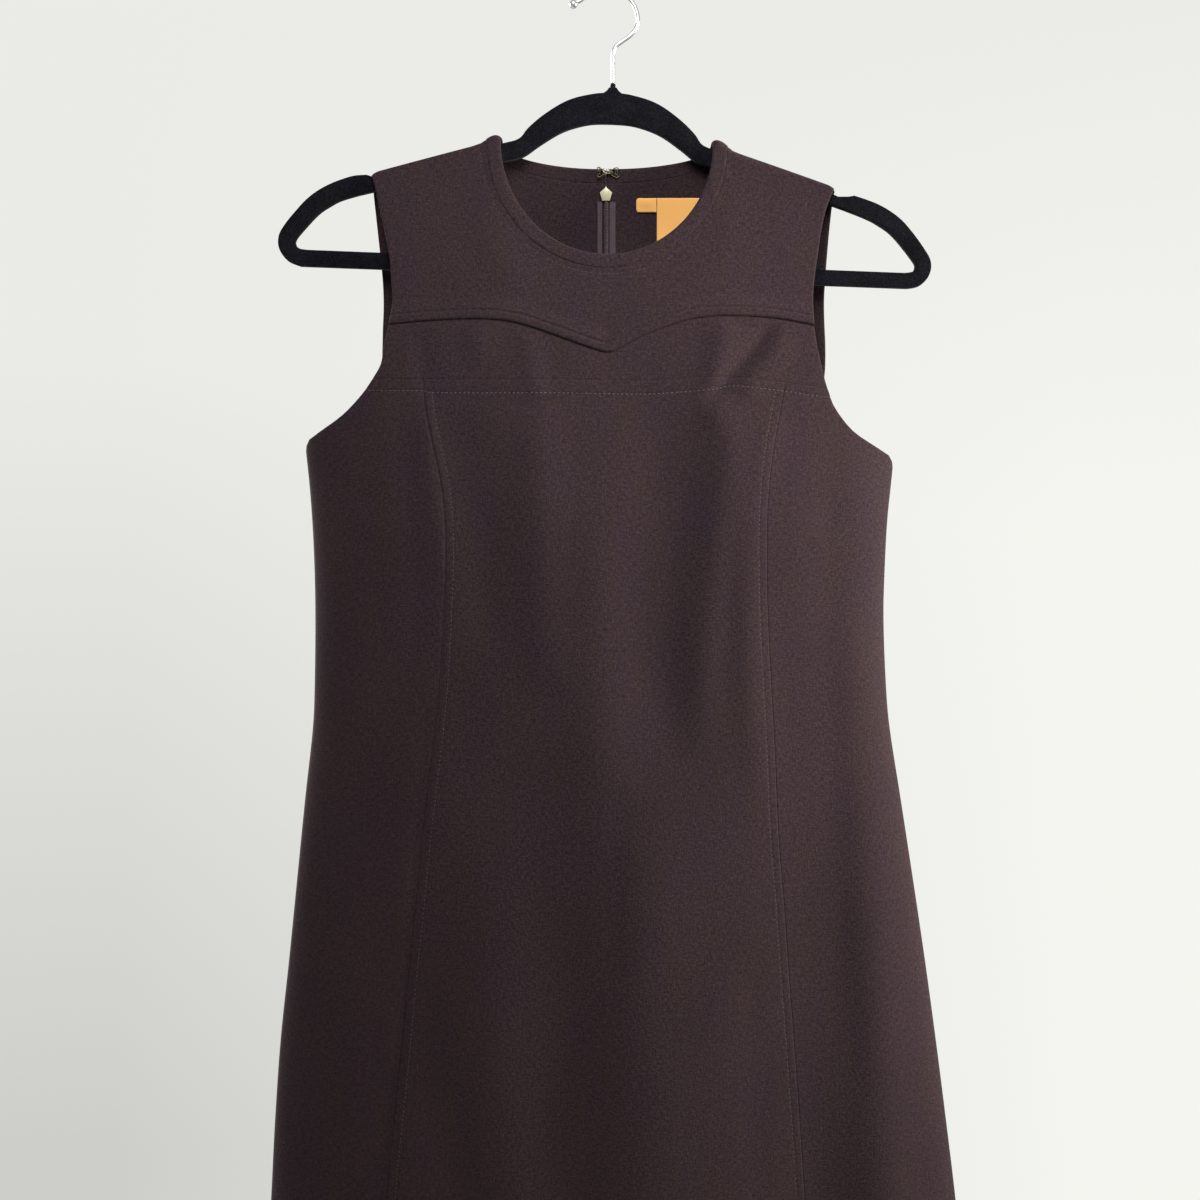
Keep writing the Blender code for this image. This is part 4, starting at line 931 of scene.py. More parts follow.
# ---- columns round the neck
def round_columns(face, side, count):
    """From the shoulder to the centre: share of the neck seam, outer place, on the foot line."""
    corner, top = YOKE_CORNER[side], tip_drop(side)
    centre_x = YOKE_POINT if face == FRONT else 0.0
    shoulder = float(ridge(NECK_X + side * (NECK_HALF + BAND_WIDTH)))
    angle_at = NECK_FOOT[face] + BAND_WIDTH - shoulder
    steps = np.array(SHOULDER_LINES)
    share = np.arcsin(steps / angle_at) * 2 / math.pi
    drop = top + steps
    arm = lay(drop[-1], corner, grid_lines(count, (0.0,), CORNER_LINES))[1:]
    t = (arm - drop[-1]) / (corner - drop[-1])
    share = np.concatenate([share, mix(share[-1], NECK_SHARE[face], t)])
    drop = np.concatenate([drop, arm])
    outer_x = side * edge_out(face, side, drop)
    foot_x = lay(outer_x[-1], centre_x, grid_lines(count * 2, EDGE_LINES, EDGE_LINES))[1:]
    t = (foot_x - outer_x[-1]) / (centre_x - outer_x[-1])
    if face == FRONT:
        foot_drop = read(YOKE_EDGE, foot_x)
    else:
        foot_drop = mix(corner, (YOKE_CORNER[LEFT] + YOKE_CORNER[RIGHT]) / 2, t)
    at_foot = np.arange(len(drop) + len(foot_x)) >= len(drop) - 1
    return (np.concatenate([share, mix(NECK_SHARE[face], 1.0, t)]),
            np.concatenate([outer_x, foot_x]), np.concatenate([drop, foot_drop]), at_foot)


def round_neck(face, count):
    """Columns all round the front, left shoulder to right shoulder, with the side of each."""
    left, right = (round_columns(face, side, count) for side in (LEFT, RIGHT))
    parts = [np.concatenate([a, b[-2::-1]]) for a, b in zip(left, right)]
    sides = np.concatenate([np.full(len(left[0]), LEFT), np.full(len(right[0]) - 1, RIGHT)])
    return sides, parts


def neck_places(face, sides, offset, share):
    left, right = (neck_curve(face, side, offset, share) for side in (LEFT, RIGHT))
    return [np.where(sides == LEFT, a, b) for a, b in zip(left, right)]


# ---- bodice
def make_front_band():
    sides, (share, *_) = round_neck(FRONT, NECK_COLUMNS[FRONT])
    rows = lay(BAND_WIDTH - LIP, 0.0, grid_lines(BAND_ROWS))[:, None]
    x, drop = neck_places(FRONT, sides, rows, share)
    band = Patch(FRONT, x, drop, BAND_CLOTH)
    band.seam("first", 0.2)
    band.turned("last", 1.25)
    for edge in ENDS:
        band.seam(edge, 0.3)
    waves = ripple(travel(band.points, 1), 6.1, 17.0)
    band.high += 0.1 * waves * bump(band.distance("last") - 5, 3)
    cloth_piece("front_neck_band", FRONT, [band])


def make_back_band(side):
    share = round_columns(BACK, side, NECK_COLUMNS[BACK])[0][::-side]
    offset = lay(0.0, BAND_WIDTH - LIP, grid_lines(BAND_ROWS))[:, None]
    x, drop = neck_curve(BACK, side, offset, share)
    x = beside_slit(side, x, drop, mix(BAND_NOTCH, slit(drop), ease(offset / NOTCH_DEPTH)))
    band = Patch(BACK, x, drop, BAND_CLOTH)
    shoulder, centre = ENDS[::-side]
    band.turned("first")
    band.seam("last", inside=0.16)
    band.seam(shoulder)
    band.turned(centre)
    cloth_piece(f"back_neck_band_{SIDE_NAMES[side]}", BACK, [band])


def welt_lift(distance):
    """Turned edge of the yoke: the rise of its inner and of its outer surface."""
    inner = (CLOTH + 0.1) * ease((5.6 - distance) / 2.6)
    outer = 1.35 * ease((16.0 - distance) / 10.5) * mix(0.3, 1.0, rounded(distance, 2.2))
    return inner, outer - 0.5 * bump(distance - WELT_WIDTH, 0.6)


def arm_distance(patch, x, drop, edge, at_foot):
    """Distance from the armhole, along the grid or straight across, whichever is less."""
    arm = np.where(at_foot, FAR, patch.distance(edge))
    out = by_side(x, edge_out(patch.face, LEFT, drop), edge_out(patch.face, RIGHT, drop))
    return np.where(np.abs(x) > ARM_ZONE, np.minimum(arm, np.abs(out - np.abs(x))), arm)


def make_front_yoke():
    sides, (share, outer_x, outer_drop, at_foot) = round_neck(FRONT, NECK_COLUMNS[FRONT])
    inner = neck_places(FRONT, sides, BAND_WIDTH + LIP, share)
    outer_drop = outer_drop - np.where(at_foot, HALF_GAP, 0.0)
    length = np.hypot(outer_x - inner[0], outer_drop - inner[1])
    rows = grid_lines(YOKE_ROWS, WELT_LINES, NECK_LINES)
    t = 1 - (length * rows[0][:, None] + rows[1][:, None]) / length
    x, drop = across_shoulder(inner, (outer_x, outer_drop), t)
    yoke = Patch(FRONT, x, drop, CLOTH)
    slope = (read(YOKE_EDGE, x + 1) - read(YOKE_EDGE, x - 1)) / 2
    above = (read(YOKE_EDGE, x) - HALF_GAP - drop) / np.hypot(1, slope)
    along = travel(yoke.points, 1)
    neck = yoke.distance("last")
    yoke.high += topstitch_lift(neck, along, NECK_STITCH_IN, 0.06, 0.2)
    yoke.seam(neck, 0.08)
    arm = arm_distance(yoke, x, drop, "first", at_foot)
    yoke.turned(arm)
    for edge in ENDS:
        yoke.seam(edge)
    lift_in, lift_out = welt_lift(above)
    fade = rounded(arm, 1.2)
    yoke.low += lift_in * mix(0.75, 1.0, fade)
    yoke.high += lift_out * mix(0.55, 1.0, fade)
    yoke.high -= STITCH_SINK * 0.4 * bump(above - YOKE_STITCH_IN, 0.6)
    yoke.high += ripple(along, 2.3, 8.1) * 0.06 * bump(above - YOKE_STITCH_IN, 3.0)
    lip = 0.5 * (1 - rounded(above, 1.0))
    yoke.high -= lip * (yoke.high - yoke.low)
    cloth_piece("front_yoke", FRONT, [yoke])


def outer_line(face, side):
    return lambda drop: side * edge_out(face, side, drop)


def make_chest_band():
    x, drop = fill(outer_line(FRONT, LEFT), outer_line(FRONT, RIGHT),
                   lambda x: read(CHEST_SEAM, x) - LIP, lambda x: read(YOKE_EDGE, x) - WELT_UNDER,
                   grid_lines(CHEST_COLUMNS), grid_lines(CHEST_ROWS, EDGE_LINES, UNDER_LINES))
    band = Patch(FRONT, x, drop, CLOTH)
    band.seam("first", 0.17)
    band.high -= 0.3 * bump(band.distance("last") - WELT_UNDER, 1.5)
    for edge in ENDS:
        band.turned(edge)
    waves = ripple(travel(band.points, 1), 2.6, 9.0)
    band.high += 0.07 * waves * bump(band.distance("first") - 2.5, 3.0)
    cloth_piece("front_chest_band", FRONT, [band])


def hem_line(x):
    """Drop of the hem, which hangs a little lower on the right."""
    middle = (HEM[LEFT] + HEM[RIGHT]) / 2
    half = by_side(x, half_width(LEFT, HEM[LEFT]), half_width(RIGHT, HEM[RIGHT]))
    out = np.clip(np.abs(x) / half, 0, 1)
    return mix(middle, by_side(x, HEM[LEFT], HEM[RIGHT]), out)


def chest_line(x):
    return read(CHEST_SEAM, x) + LIP


def chest_inset(x):
    """From the chest seam to its topstitching, which runs closer on the right."""
    return 9.2 - 1.2 * ease((-116 - x) / 6) - 3.0 * ease((x - 58) / 30)


def princess(side, shift):
    return lambda drop: side * (read(PRINCESS, drop, side_column(side)) + shift)


def make_front_panel(node, left, right, columns, outer=None):
    """A panel between two lines; outer names its armhole edge, which the centre one lacks."""
    x, drop = fill(left, right, hem_line, chest_line, columns,
                   grid_lines(PANEL_ROWS, EDGE_LINES, CHEST_LINES))
    panel = Patch(FRONT, x, drop, CLOTH)
    panel.unroll()
    panel.turned("first")
    top = panel.distance("last")
    panel.high += topstitch_lift(top, travel(panel.points, 1), chest_inset(x), 0.12, 0.14)
    panel.seam(top, 0.17)
    down = travel(panel.points, 0)
    for edge in ENDS:
        if edge == outer:
            panel.outer_edge(edge)
            continue
        side = LEFT if (edge == "left") == (outer is None) else RIGHT
        if outer is None:
            panel.high += topstitch_lift(panel.distance(edge), down, puff=PRINCESS_PUFF[side],
                                         sink=0.12) * ease(top / 3)
        panel.seam(edge, PRINCESS_SINK[side], reach=0.9)
    cloth_piece(node, FRONT, [panel])


def make_back_panel(side):
    share, outer_x, outer_drop, at_foot = (
        line[::-side] for line in round_columns(BACK, side, BACK_COLUMNS))
    inner = neck_curve(BACK, side, BAND_WIDTH + LIP, share)
    length = np.hypot(outer_x - inner[0], outer_drop - inner[1])
    rows = grid_lines(BACK_ROWS, NECK_LINES, EDGE_LINES)
    t = (length * rows[0][:, None] + rows[1][:, None]) / length
    x, drop = across_shoulder(inner, (outer_x, outer_drop), t)
    upper = Patch(BACK, beside_slit(side, x, drop), drop, CLOTH)
    shoulder, centre = ENDS[::-side]
    neck = upper.distance("first")
    upper.high += topstitch_lift(neck, travel(upper.points, 1), NECK_STITCH_IN, 0.2)
    upper.seam(neck, inside=0.2)
    upper.seam(shoulder)
    upper.turned(arm_distance(upper, x, drop, "last", at_foot))
    corner, middle = YOKE_CORNER[side], (YOKE_CORNER[LEFT] + YOKE_CORNER[RIGHT]) / 2
    corner_x = edge_out(BACK, side, corner)
    ends = (outer_line(BACK, side), lambda drop: 0.0 * drop)[::-side]
    x, drop = fill(*ends, lambda x: mix(middle, corner, np.abs(x) / corner_x), hem_line,
                   grid_lines(BACK_COLUMNS * 2), grid_lines(PANEL_ROWS, (0.0,), EDGE_LINES))
    x[0], drop[0] = outer_x[at_foot], outer_drop[at_foot]
    lower = Patch(BACK, beside_slit(side, x, drop), drop, CLOTH)
    lower.unroll()
    lower.turned("last")
    lower.outer_edge(shoulder)
    for patch in (upper, lower):
        beside = patch.distance(centre)
        fade = ease((ZIP_FOOT + 10 - patch.drop) / 10)
        patch.high += topstitch_lift(beside, -patch.drop, ZIP_STITCH_IN, 0.3) * fade
        patch.seam(beside)
    cloth_piece(f"back_panel_{SIDE_NAMES[side]}", BACK, [upper, lower])


# ---- topstitching
def make_stitches(name, lines, depth=1.0, pitch=3.0):
    """One mesh of short threads along lines of places on the cloth: face, x, drop, out."""
    look = bpy.context.scene.dress_cloth
    deselect()
    bpy.ops.mesh.primitive_uv_sphere_add(segments=6, ring_count=4, radius=1.0)
    shape, faces = take_shape(bpy.context.object)
    size = (look.stitch / 2, look.thread_width / 2, look.thread_width / 2)
    long, wide, tall = ((shape[:, [2, 0, 1]] * size)[:, k:k + 1] for k in range(3))
    placed = []
    for face, x, drop, out in lines:
        points = cloth_point(face, x, drop)
        length = travel(points, 0)
        stops = np.arange(pitch / 2, length[-1] - pitch / 2, pitch)
        stops = stops + np.sin(stops * 1.7) * 0.12
        (before, _), (middle, away), (after, _) = (
            raised_point(face, np.interp(stops + shift, length, x),
                         np.interp(stops + shift, length, drop), out)
            for shift in (-0.5, 0.0, 0.5))
        along = after - before
        along /= np.linalg.norm(along, axis=1, keepdims=True)
        beside = np.cross(away, along)
        placed.append(long * along[:, None] + wide * beside[:, None] + tall * away[:, None]
                      + middle[:, None])
    thing = add_object(name, repeated(name, np.concatenate(placed), faces))
    edit_mesh(thing, normals_make_consistent=OUTWARD)
    # a depth below 1 gives the darker copy of the thread: painted shade where it sinks into its
    # channel
    kind = thread("topstitch_thread") if depth == 1 else thread("sunk_thread", depth)
    hand_over(thing, None, kind, degrees=80)


def stitch_row(name):
    """Places of a row of topstitches, and how far the thread lies out."""
    first, last, count, out = STITCH_ROWS[name]
    return np.linspace(first, last, count), CLOTH + out


def shifted(x, drop, inset):
    """Line of places moved square to itself by inset, toward larger drop for +."""
    dx, dd = np.gradient(x), np.gradient(drop)
    length = np.hypot(dx, dd)
    return x - dd / length * inset, drop + dx / length * inset


# ---- zip
def zip_patch(columns, wall, inward):
    """Strip down the whole zip, moved inward from the back's inside."""
    rows = np.linspace(ZIP_TOP, ZIP_FOOT, int((ZIP_FOOT - ZIP_TOP) / ZIP_STEP) + 1)[:, None]
    x, drop = (grid + 0.0 for grid in np.broadcast_arrays(columns, rows))
    strip = Patch(BACK, x, drop, wall)
    strip.shift(-(ZIP_CLEAR + inward))
    return strip


def make_tape(side):
    columns = mix(*TAPE_EDGES[side], np.array((0.0, 0.08, 0.3, 0.55, 0.8, 0.94, 1.0)))
    tape = zip_patch(columns, TAPE_THICK, TAPE_THICK)
    tape.shift(0.08 * np.sin(tape.drop / 2.4))
    for edge in ENDS:
        tape.trim(TAPE_TRIM * (1 - rounded(tape.distance(edge), 0.5)))
    cloth_piece(f"zip_tape_{SIDE_NAMES[side]}", BACK, [tape],
                woven("zip_tape", zip_colour(), 260.0, sheen=0.05))


def zip_colour():
    return tuple(bpy.context.scene.dress_fittings.zip_colour)


def make_coil():
    """Nylon coil: a flat core between the tapes and one loop after another across it."""
    pitch = bpy.context.scene.dress_fittings.coil_pitch
    across = np.array((-1.0, -0.9, -0.6, 0.0, 0.6, 0.9, 1.0))
    core = zip_patch(COIL_MIDDLE + COIL_HALF * across, COIL_THICK, 1.0)
    core.low -= 0.25 * (1 - ((core.x - COIL_MIDDLE) / COIL_HALF) ** 2)
    thing = add_object("zip_coil", sew("zip_coil", BACK, [core]))
    deselect()
    bpy.ops.mesh.primitive_cylinder_add(vertices=6, radius=0.5, depth=2.0, end_fill_type="NGON")
    loop = bpy.context.object
    apply_modifier(loop, "BEVEL", width=0.2, segments=1, limit_method="ANGLE",
                   angle_limit=math.radians(70))
    shape, faces = take_shape(loop)
    drop = np.arange(ZIP_TOP + 0.8, ZIP_FOOT - 0.8, pitch)
    middle = cloth_point(BACK, COIL_MIDDLE + 0 * drop, drop, -ZIP_CLEAR - 1.25)
    rise = np.where(np.arange(len(drop)) % 2, 0.2, 0.08)
    lean = np.stack([np.full(len(drop), 0.97), 0 * drop, rise], axis=-1)
    tall = np.stack([-lean[:, 2], 0 * drop, lean[:, 0]], axis=-1)
    deep = np.array((0.0, 1.0, 0.0))
    placed = (middle[:, None] + shape[None, :, 2:] * lean[:, None] * (COIL_HALF - 0.05)
              + shape[None, :, :1] * tall[:, None] * pitch * 0.8
              + shape[None, :, 1:2] * deep * 0.75)
    mesh = repeated("zip_loops", placed, faces)
    mesh.uv_layers.new(name="cloth")
    loops = add_object("zip_loops", mesh)
    edit_mesh(loops, normals_make_consistent=OUTWARD)
    nylon = woven("zip_nylon", tuple(c * 1.15 for c in zip_colour()), 200.0, 0.4, 0.1)
    hand_over(loops, None, nylon)
    hand_over(thing, "zip_chain", nylon)


# ---- stage
def make_floor(wall):
    deselect()
    bpy.ops.mesh.primitive_circle_add(vertices=96, radius=FLOOR_RADIUS, fill_type="NGON",
                                      location=(0, 0, FLOOR_HEIGHT))
    floor = bpy.context.object
    floor.name = "floor"
    pale, tree, shader = new_material("pale_floor", wall, 0.9, Emission_Color=(*wall, 1.0),
                                      Emission_Strength=0.22)
    tone = ranged(tree, noise(tree, object_place(tree), 14.0, 3.0), 0.3, 0.7, 0.97, 1.03)
    tint(tree, shader, (*wall, 1), tone)
    floor.data.materials.append(pale)


def make_lights(window):
    for name, place, size, aim, spread, share, tone in LIGHTS:
        bpy.ops.object.light_add(type="AREA", location=place)
        light = bpy.context.object
        light.name = name
        light.data.shape = "SQUARE"
        light.data.size = size
        light.data.energy = window * share
        light.data.color = tone
        light.data.spread = math.radians(spread)
        light.visible_camera = False
        way = Vector((0, 0, aim)) - Vector(place)
        light.rotation_euler = way.to_track_quat("-Z", "Y").to_euler()


def make_room(wall, even_light):
    """World with a pale wall that the camera sees, painted darker low on the left and lighter low
    on the right as painted shade and light, and even light from above for the rest.
    """
    world = bpy.data.worlds.new("pale_room")
    bpy.context.scene.world = world
    world.use_nodes = True
    tree = world.node_tree
    tree.nodes.clear()
    way = add_node(tree, "TexCoord").outputs["Generated"]
    split = add_node(tree, "SeparateXYZ", {0: way}).outputs
    # painted shade and light of the wall: each side's tone changes with height, darkest low on the
    # left
    left, right = (
        blend_colours(tree, ranged(tree, split[2], low, high), (*(c * dim for c in wall), 1),
                      (*(min(c * bright, 1) for c in wall), 1))
        for low, high, dim, bright in WALL_SHADE_TONES)
    shown = blend_colours(tree, ranged(tree, split[0], -0.24, 0.24), left, right)
    above = maths(tree, "POWER", ranged(tree, split[2], -1.0, 1.0), 2.0)

    def background(colour, strength):
        return add_node(tree, "Background", {"Color": colour, "Strength": strength}).outputs[0]

    def choose(ray, first, second):
        return add_node(tree, "MixShader", {0: rays[ray], 1: first, 2: second}).outputs[0]

    seen = background(shown, 1.0)
    even = background((0.93, 1.0, 0.97, 1), maths(tree, "MULTIPLY", above, even_light))
    shine = background((*wall, 1), 0.7)
    rays = add_node(tree, "LightPath").outputs
    both = choose("Is Camera Ray", choose("Is Glossy Ray", even, shine), seen)
    add_node(tree, "OutputWorld", {"Surface": both})


def place_camera():
    bpy.ops.object.camera_add(location=CAMERA_PLACE, rotation=(math.radians(90), 0, 0))
    camera = bpy.context.object
    camera.data.sensor_width = CAMERA_SENSOR
    camera.data.lens = CAMERA_LENS
    bpy.context.scene.camera = camera


# ---- settings
def colour(name, description, default):
    return bpy.props.FloatVectorProperty(name=name, description=description, default=default,
                                         size=3, min=0, max=1, subtype="COLOR")


def number(name, description, default, low, high, **more):
    return bpy.props.FloatProperty(name=name, description=description, default=default, min=low,
                                   max=high, **more)


class DressClothSettings(bpy.types.PropertyGroup):
    colour: colour("Wool", "Colour of the wool cloth", (0.0285, 0.0171, 0.0203))
    thread: colour("Thread", "Colour of the topstitching thread", (0.1, 0.076, 0.075))
    sheen: number("Sheen", "Soft light off the wool's loose fibres", 0.1, 0, 1, subtype="FACTOR")
    crease: number("Creases", "Depth of the small creases, as a share of the shown ones", 1.0, 0,
                   2, subtype="FACTOR")
    stitch: number("Stitch", "Length of one topstitch in millimetres", 1.7, 0.5, 5)
    thread_width: number("Thread Width", "Thickness of the thread in millimetres", 0.44, 0.1, 1)


class DressHangerSettings(bpy.types.PropertyGroup):
    colour: colour("Flock", "Colour of the flocked hanger", (0.0052, 0.0051, 0.007))
    edge: number("Edge", "Radius of the hanger's softened edges", 0.0018, 0.0002, 0.0026,
                 unit="LENGTH", subtype="DISTANCE")


class DressFittingSettings(bpy.types.PropertyGroup):
    zip_colour: colour("Zip", "Colour of the zip's tapes", (0.05, 0.028, 0.037))
    slider_colour: colour("Slider", "Colour of the enamelled slider", (0.6, 0.55, 0.36))
    brass_colour: colour("Brass", "Colour of the hook and eye", (0.15, 0.12, 0.06))
    label_colour: colour("Label", "Colour of the woven label", (1.0, 0.31, 0.05))
    coil_pitch: number("Coil Pitch", "Distance between two loops of the coil, in millimetres",
                       1.15, 0.6, 3)


class DressStageSettings(bpy.types.PropertyGroup):
    wall: colour("Wall", "Tone of the wall behind the dress", (0.822, 0.83, 0.79))
    room: number("Room Light", "Even light from the upper half of the room", 0.03, 0, 4)
    window: number("Window Light", "Power of the large soft light on the right, in watts", 16.8,
                   0, 500)


# ---- operators
class DressPiece:
    bl_options = {"REGISTER", "UNDO"}


class DRESS_OT_neck_bands(DressPiece, bpy.types.Operator):
    """Build the doubled band round the neck, front and both halves of the back"""
    bl_idname = "dress.neck_bands"
    bl_label = "Neck Bands"

    def execute(self, context):
        make_front_band()
        for side in (LEFT, RIGHT):
            make_back_band(side)
        return {"FINISHED"}


class DRESS_OT_front_yoke(DressPiece, bpy.types.Operator):
    """Build the front yoke, whose pointed lower edge is turned and stands raised"""
    bl_idname = "dress.front_yoke"
    bl_label = "Front Yoke"

    def execute(self, context):
        make_front_yoke()
        return {"FINISHED"}


class DRESS_OT_chest_band(DressPiece, bpy.types.Operator):
    """Build the band between the yoke's edge and the straight seam"""
    bl_idname = "dress.chest_band"
    bl_label = "Chest Band"

    def execute(self, context):
        make_chest_band()
        return {"FINISHED"}


class DRESS_OT_front_panels(DressPiece, bpy.types.Operator):
    """Build the three front panels, from the chest seam to the hem"""
    bl_idname = "dress.front_panels"
    bl_label = "Front Panels"

    def execute(self, context):
        make_front_panel("front_centre_panel", princess(LEFT, -LIP), princess(RIGHT, -LIP),
                         grid_lines(CENTRE_COLUMNS, STITCHED_LINES, STITCHED_LINES))
        make_front_panel("front_side_panel_left", outer_line(FRONT, LEFT), princess(LEFT, LIP),
                         grid_lines(SIDE_COLUMNS), "left")
        make_front_panel("front_side_panel_right", princess(RIGHT, LIP), outer_line(FRONT, RIGHT),
                         grid_lines(SIDE_COLUMNS), "right")
        return {"FINISHED"}


class DRESS_OT_back_panels(DressPiece, bpy.types.Operator):
    """Build both back panels, open along the zip"""
    bl_idname = "dress.back_panels"
    bl_label = "Back Panels"

    def execute(self, context):
        for side in (LEFT, RIGHT):
            make_back_panel(side)
        return {"FINISHED"}


class DRESS_OT_topstitching(DressPiece, bpy.types.Operator):
    """Sew the topstitching beside the seams"""
    bl_idname = "dress.topstitching"
    bl_label = "Topstitching"

    def execute(self, context):
        share, out = stitch_row("neck")
        left = neck_curve(FRONT, LEFT, NECK_STITCH_LINE, share)
        right = neck_curve(FRONT, RIGHT, NECK_STITCH_LINE, share[::-1])
        lines = [(FRONT, *(np.concatenate([a, b[1:]]) for a, b in zip(left, right)), out)]
        share, out = stitch_row("back_neck")
        lines += [(BACK, *neck_curve(BACK, side, NECK_STITCH_LINE, share), out)
                  for side in (LEFT, RIGHT)]
        # neck, yoke, princess and zip rows take the darker thread, painted shade of their channels
        make_stitches("neck_topstitching", lines, SHADED_THREAD_SHARE)
        x, out = stitch_row("yoke")
        line = shifted(x, read(YOKE_EDGE, x), -YOKE_STITCH_IN)
        make_stitches("yoke_topstitching", [(FRONT, *line, out)], SHADED_THREAD_SHARE)
        x, out = stitch_row("chest")
        make_stitches("chest_topstitching", [(FRONT, x, chest_line(x) + chest_inset(x), out)])
        drop, out = stitch_row("princess")
        for side, name in SIDE_NAMES.items():
            line = shifted(princess(side, 0.0)(drop), drop, side * STITCH_IN)
            make_stitches(f"princess_topstitching_{name}", [(FRONT, *line, out)], SHADED_THREAD_SHARE)
        drop, out = stitch_row("zip")
        lines = [(BACK, side * (slit(drop) + ZIP_STITCH_IN), drop, out) for side in (LEFT, RIGHT)]
        make_stitches("zip_topstitching", lines, SHADED_THREAD_SHARE)
        return {"FINISHED"}


class DRESS_OT_zip(DressPiece, bpy.types.Operator):
    """Build the zip's tapes and its coil, inside the centre-back seam"""
    bl_idname = "dress.zip"
    bl_label = "Zip"

    def execute(self, context):
        for side in (LEFT, RIGHT):
            make_tape(side)
        make_coil()
        return {"FINISHED"}


class DRESS_OT_slider(DressPiece, bpy.types.Operator):
    """Build the five-sided slider and the tab that swings on it"""
    bl_idname = "dress.slider"
    bl_label = "Slider and Pull"

    def execute(self, context):
        enamel = metal("slider_enamel", tuple(context.scene.dress_fittings.slider_colour), 0.3,
                       0.25, 0.12)
        for node, body in (("zip_slider", BODY), ("zip_pull", "pull_tab")):
            thing = copy_node(node, node + "_cast")
            apply_modifier(thing, "BEVEL", width=CAST_EDGE, segments=2, limit_method="ANGLE",
                           angle_limit=math.radians(38), use_clamp_overlap=True)
            hand_over(thing, node, enamel, body)
        return {"FINISHED"}


class DRESS_OT_fastener(DressPiece, bpy.types.Operator):
    """Bend the hook and the eye at the top of the zip"""
    bl_idname = "dress.fastener"
    bl_label = "Hook and Eye"

    def execute(self, context):
        brass = metal("dulled_brass", tuple(context.scene.dress_fittings.brass_colour), 0.32)
        for node, path, over in (("neck_eye", EYE_PATH, 0.0),
                                 ("neck_hook", HOOK_PATH, HOOK_OVER)):
            x, down = smooth_path(path, 3).T
            places = cloth_point(BACK, x, NECK_FOOT[BACK] - 0.9 + down, -0.4 - 0.45 - over)
            thing = wire(node + "_wire", places.tolist(), FASTENER_WIRE, 2, 2)
            hand_over(thing, node, brass, degrees=60)
        for k, (x, down, turn) in enumerate(TACKS):
            run = np.array((math.cos(turn), math.sin(turn))) * TACK_REACH
            step = np.array((-1.0, -0.5, 0.0, 0.5, 1.0))
            places = cloth_point(BACK, x + run[0] * step, NECK_FOOT[BACK] + down + run[1] * step,
                                 -0.2 - TACK_REACH * np.sqrt(1 - step ** 2))
            tack = wire(f"fastener_thread_{k}", places.tolist(), TACK_WIRE, 1, 2)
            hand_over(tack, None, dark_thread("hand_thread"))
        return {"FINISHED"}


class DRESS_OT_labels(DressPiece, bpy.types.Operator):
    """Build the bare neck label and its small tab"""
    bl_idname = "dress.labels"
    bl_label = "Labels"

    def execute(self, context):
        orange = tuple(context.scene.dress_fittings.label_colour)
        for node, left, size in (
                ("neck_label", LABEL_LEFT, LABEL_SIZE),
                ("size_tab", LABEL_LEFT - SEAM_GAP - TAB_SIZE[0], TAB_SIZE)):
            across, down = (lay(0.0, reach, grid_lines(LABEL_CELLS, LABEL_LINES, LABEL_LINES))
                            for reach in size)
            x, drop = (grid + 0.0 for grid in np.broadcast_arrays(
                left + across, (LABEL_TOP + down)[:, None]))
            if node == "size_tab":
                near_end = np.clip(1.6 - (x - left), 0, 1.6)
                off = np.abs(drop - LABEL_TOP - size[1] / 2) / (size[1] / 2)
                x = x + near_end * off ** 6 * 0.8
            label = Patch(BACK, x, drop, LABEL_THICK)
            label.shift(-(LABEL_CLEAR + LABEL_THICK + 0.25 * np.sin(
                (x - left) / size[0] * math.pi) * np.sin((drop - LABEL_TOP) / size[1] * 5)))
            for edge in EDGES:
                label.turned(edge)
            cloth_piece(node, BACK, [label],
                        woven("label_weave", orange, 190.0, 0.6, 0.12, 0.08))
        return {"FINISHED"}


class DRESS_OT_hanger(DressPiece, bpy.types.Operator):
    """Build the slim flocked hanger with softened edges"""
    bl_idname = "dress.hanger"
    bl_label = "Hanger"

    def execute(self, context):
        thing = copy_node("hanger_body", "hanger_flocked")
        apply_modifier(thing, "BEVEL", width=context.scene.dress_hanger.edge, segments=4,
                       limit_method="ANGLE", angle_limit=math.radians(55))
        hand_over(thing, "hanger_body", flock("velvet_flock"), degrees=50)
        return {"FINISHED"}


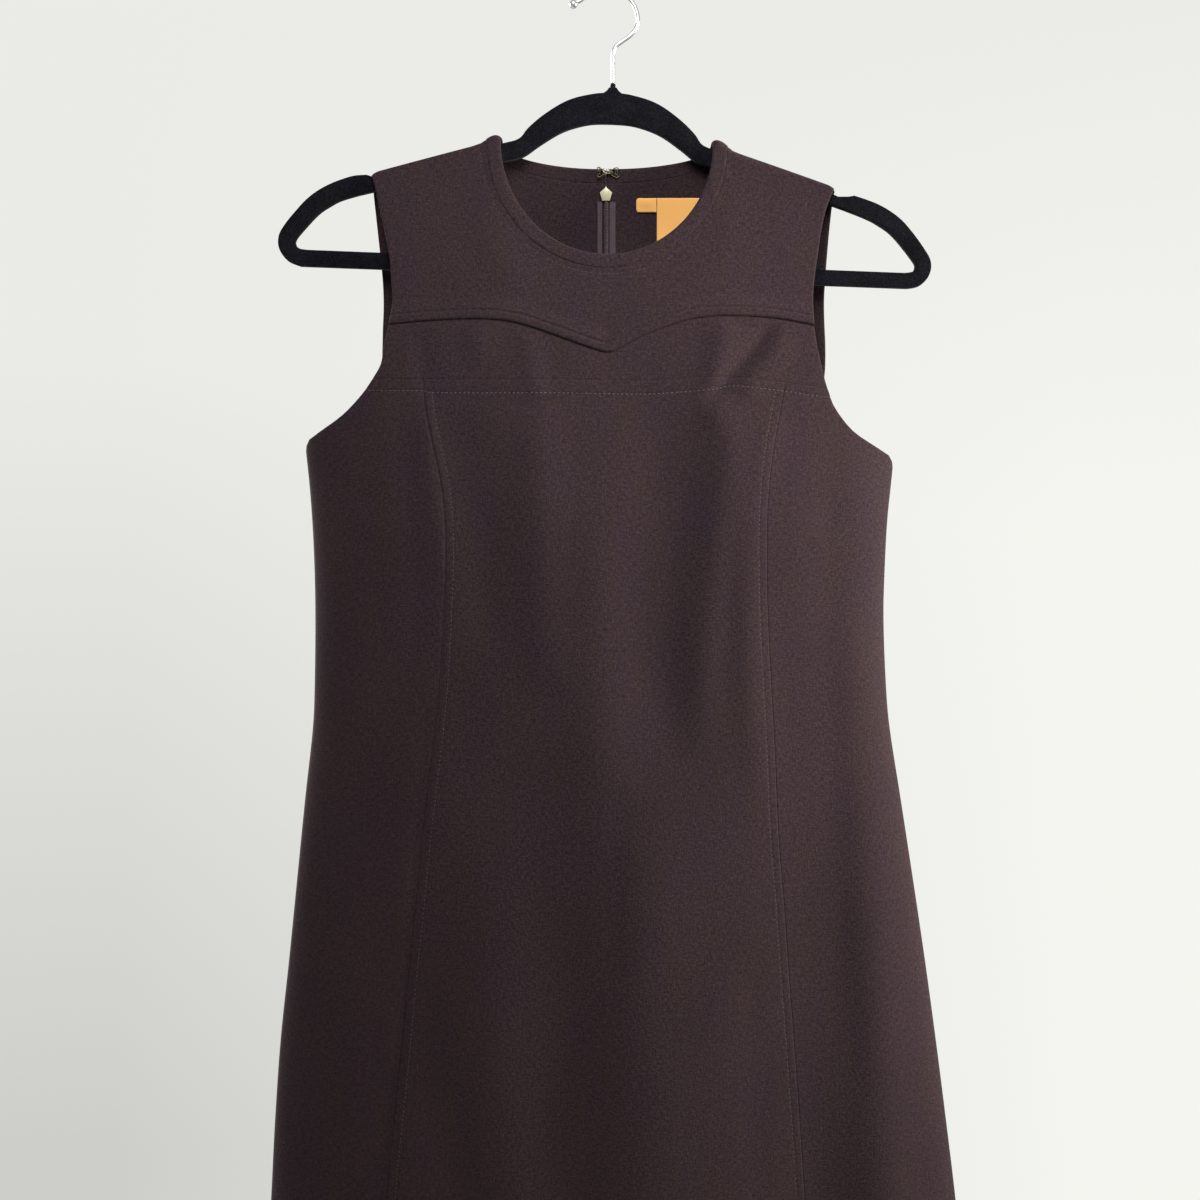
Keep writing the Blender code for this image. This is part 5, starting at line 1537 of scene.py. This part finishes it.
class DRESS_OT_hook(DressPiece, bpy.types.Operator):
    """Bend the hook's wire and put the ball on its end"""
    bl_idname = "dress.hook"
    bl_label = "Hook"

    def execute(self, context):
        chrome = metal("polished_chrome", (0.6, 0.61, 0.63), 0.2, 1.0, 0.06, 120.0)
        start, end = (math.radians(a) for a in CROWN_TURN)
        turn = np.linspace(start, end, 15)
        middle = CROWN_RADIUS - WIRE_RADIUS
        crown = np.stack([CROWN_RADIUS * np.cos(turn), middle - CROWN_RADIUS * np.sin(turn)],
                         axis=-1)
        path = np.concatenate([np.array(HOOK_STEM), crown, np.array(HOOK_FLARE)])
        places = np.stack([path[:, 0], 0 * path[:, 0], -path[:, 1]], axis=-1)
        thing = wire("hook_wire", places.tolist(), WIRE_RADIUS, 5, 5)
        hand_over(thing, "hanger_hook", chrome, degrees=60)
        run = path[-1] - path[-2]
        run /= np.hypot(*run)
        ball = path[-1] + run * (TIP_RADIUS + SEAM_GAP)
        deselect()
        bpy.ops.mesh.primitive_uv_sphere_add(
            segments=28, ring_count=16, radius=TIP_RADIUS * MM,
            location=(ball[0] * MM, 0, -ball[1] * MM),
            rotation=(0, math.atan2(run[0], -run[1]), 0))
        tip = bpy.context.object
        tip.name = "hook_ball"
        apply_place(tip)
        hand_over(tip, "hook_tip", chrome, degrees=60)
        return {"FINISHED"}


class DRESS_OT_stage(DressPiece, bpy.types.Operator):
    """Set the pale floor, the soft lights and the camera"""
    bl_idname = "dress.stage"
    bl_label = "Stage"

    def execute(self, context):
        look = context.scene.dress_stage
        context.scene.view_settings.view_transform = "Standard"
        make_floor(look.wall)
        make_lights(look.window)
        make_room(look.wall, look.room)
        place_camera()
        return {"FINISHED"}


STEPS = (
    DRESS_OT_stage, DRESS_OT_hanger, DRESS_OT_hook, DRESS_OT_back_panels, DRESS_OT_neck_bands,
    DRESS_OT_front_yoke, DRESS_OT_chest_band, DRESS_OT_front_panels, DRESS_OT_topstitching,
    DRESS_OT_zip, DRESS_OT_slider, DRESS_OT_fastener, DRESS_OT_labels,
)


class DRESS_PT_panel(bpy.types.Panel):
    """Sizes, colours and building steps of the dress"""
    bl_label = "Sheath Dress"
    bl_idname = "DRESS_PT_panel"
    bl_space_type = "VIEW_3D"
    bl_region_type = "UI"
    bl_category = "Dress"

    def draw(self, context):
        for group in (context.scene.dress_cloth, context.scene.dress_hanger,
                      context.scene.dress_fittings, context.scene.dress_stage):
            box = self.layout.box()
            for name in group.__annotations__:
                box.prop(group, name)
        for step in STEPS:
            self.layout.operator(step.bl_idname)


SETTINGS = {
    "dress_cloth": DressClothSettings,
    "dress_hanger": DressHangerSettings,
    "dress_fittings": DressFittingSettings,
    "dress_stage": DressStageSettings,
}


def register():
    for cls in (*SETTINGS.values(), *STEPS, DRESS_PT_panel):
        bpy.utils.register_class(cls)
    for name, cls in SETTINGS.items():
        setattr(bpy.types.Scene, name, bpy.props.PointerProperty(type=cls))


def unregister():
    for name in SETTINGS:
        delattr(bpy.types.Scene, name)
    for cls in reversed((*SETTINGS.values(), *STEPS, DRESS_PT_panel)):
        bpy.utils.unregister_class(cls)


def main():
    register()
    for step in STEPS:
        group, name = step.bl_idname.split(".")
        getattr(getattr(bpy.ops, group), name)()
    deselect()


if __name__ == "__main__":
    main()
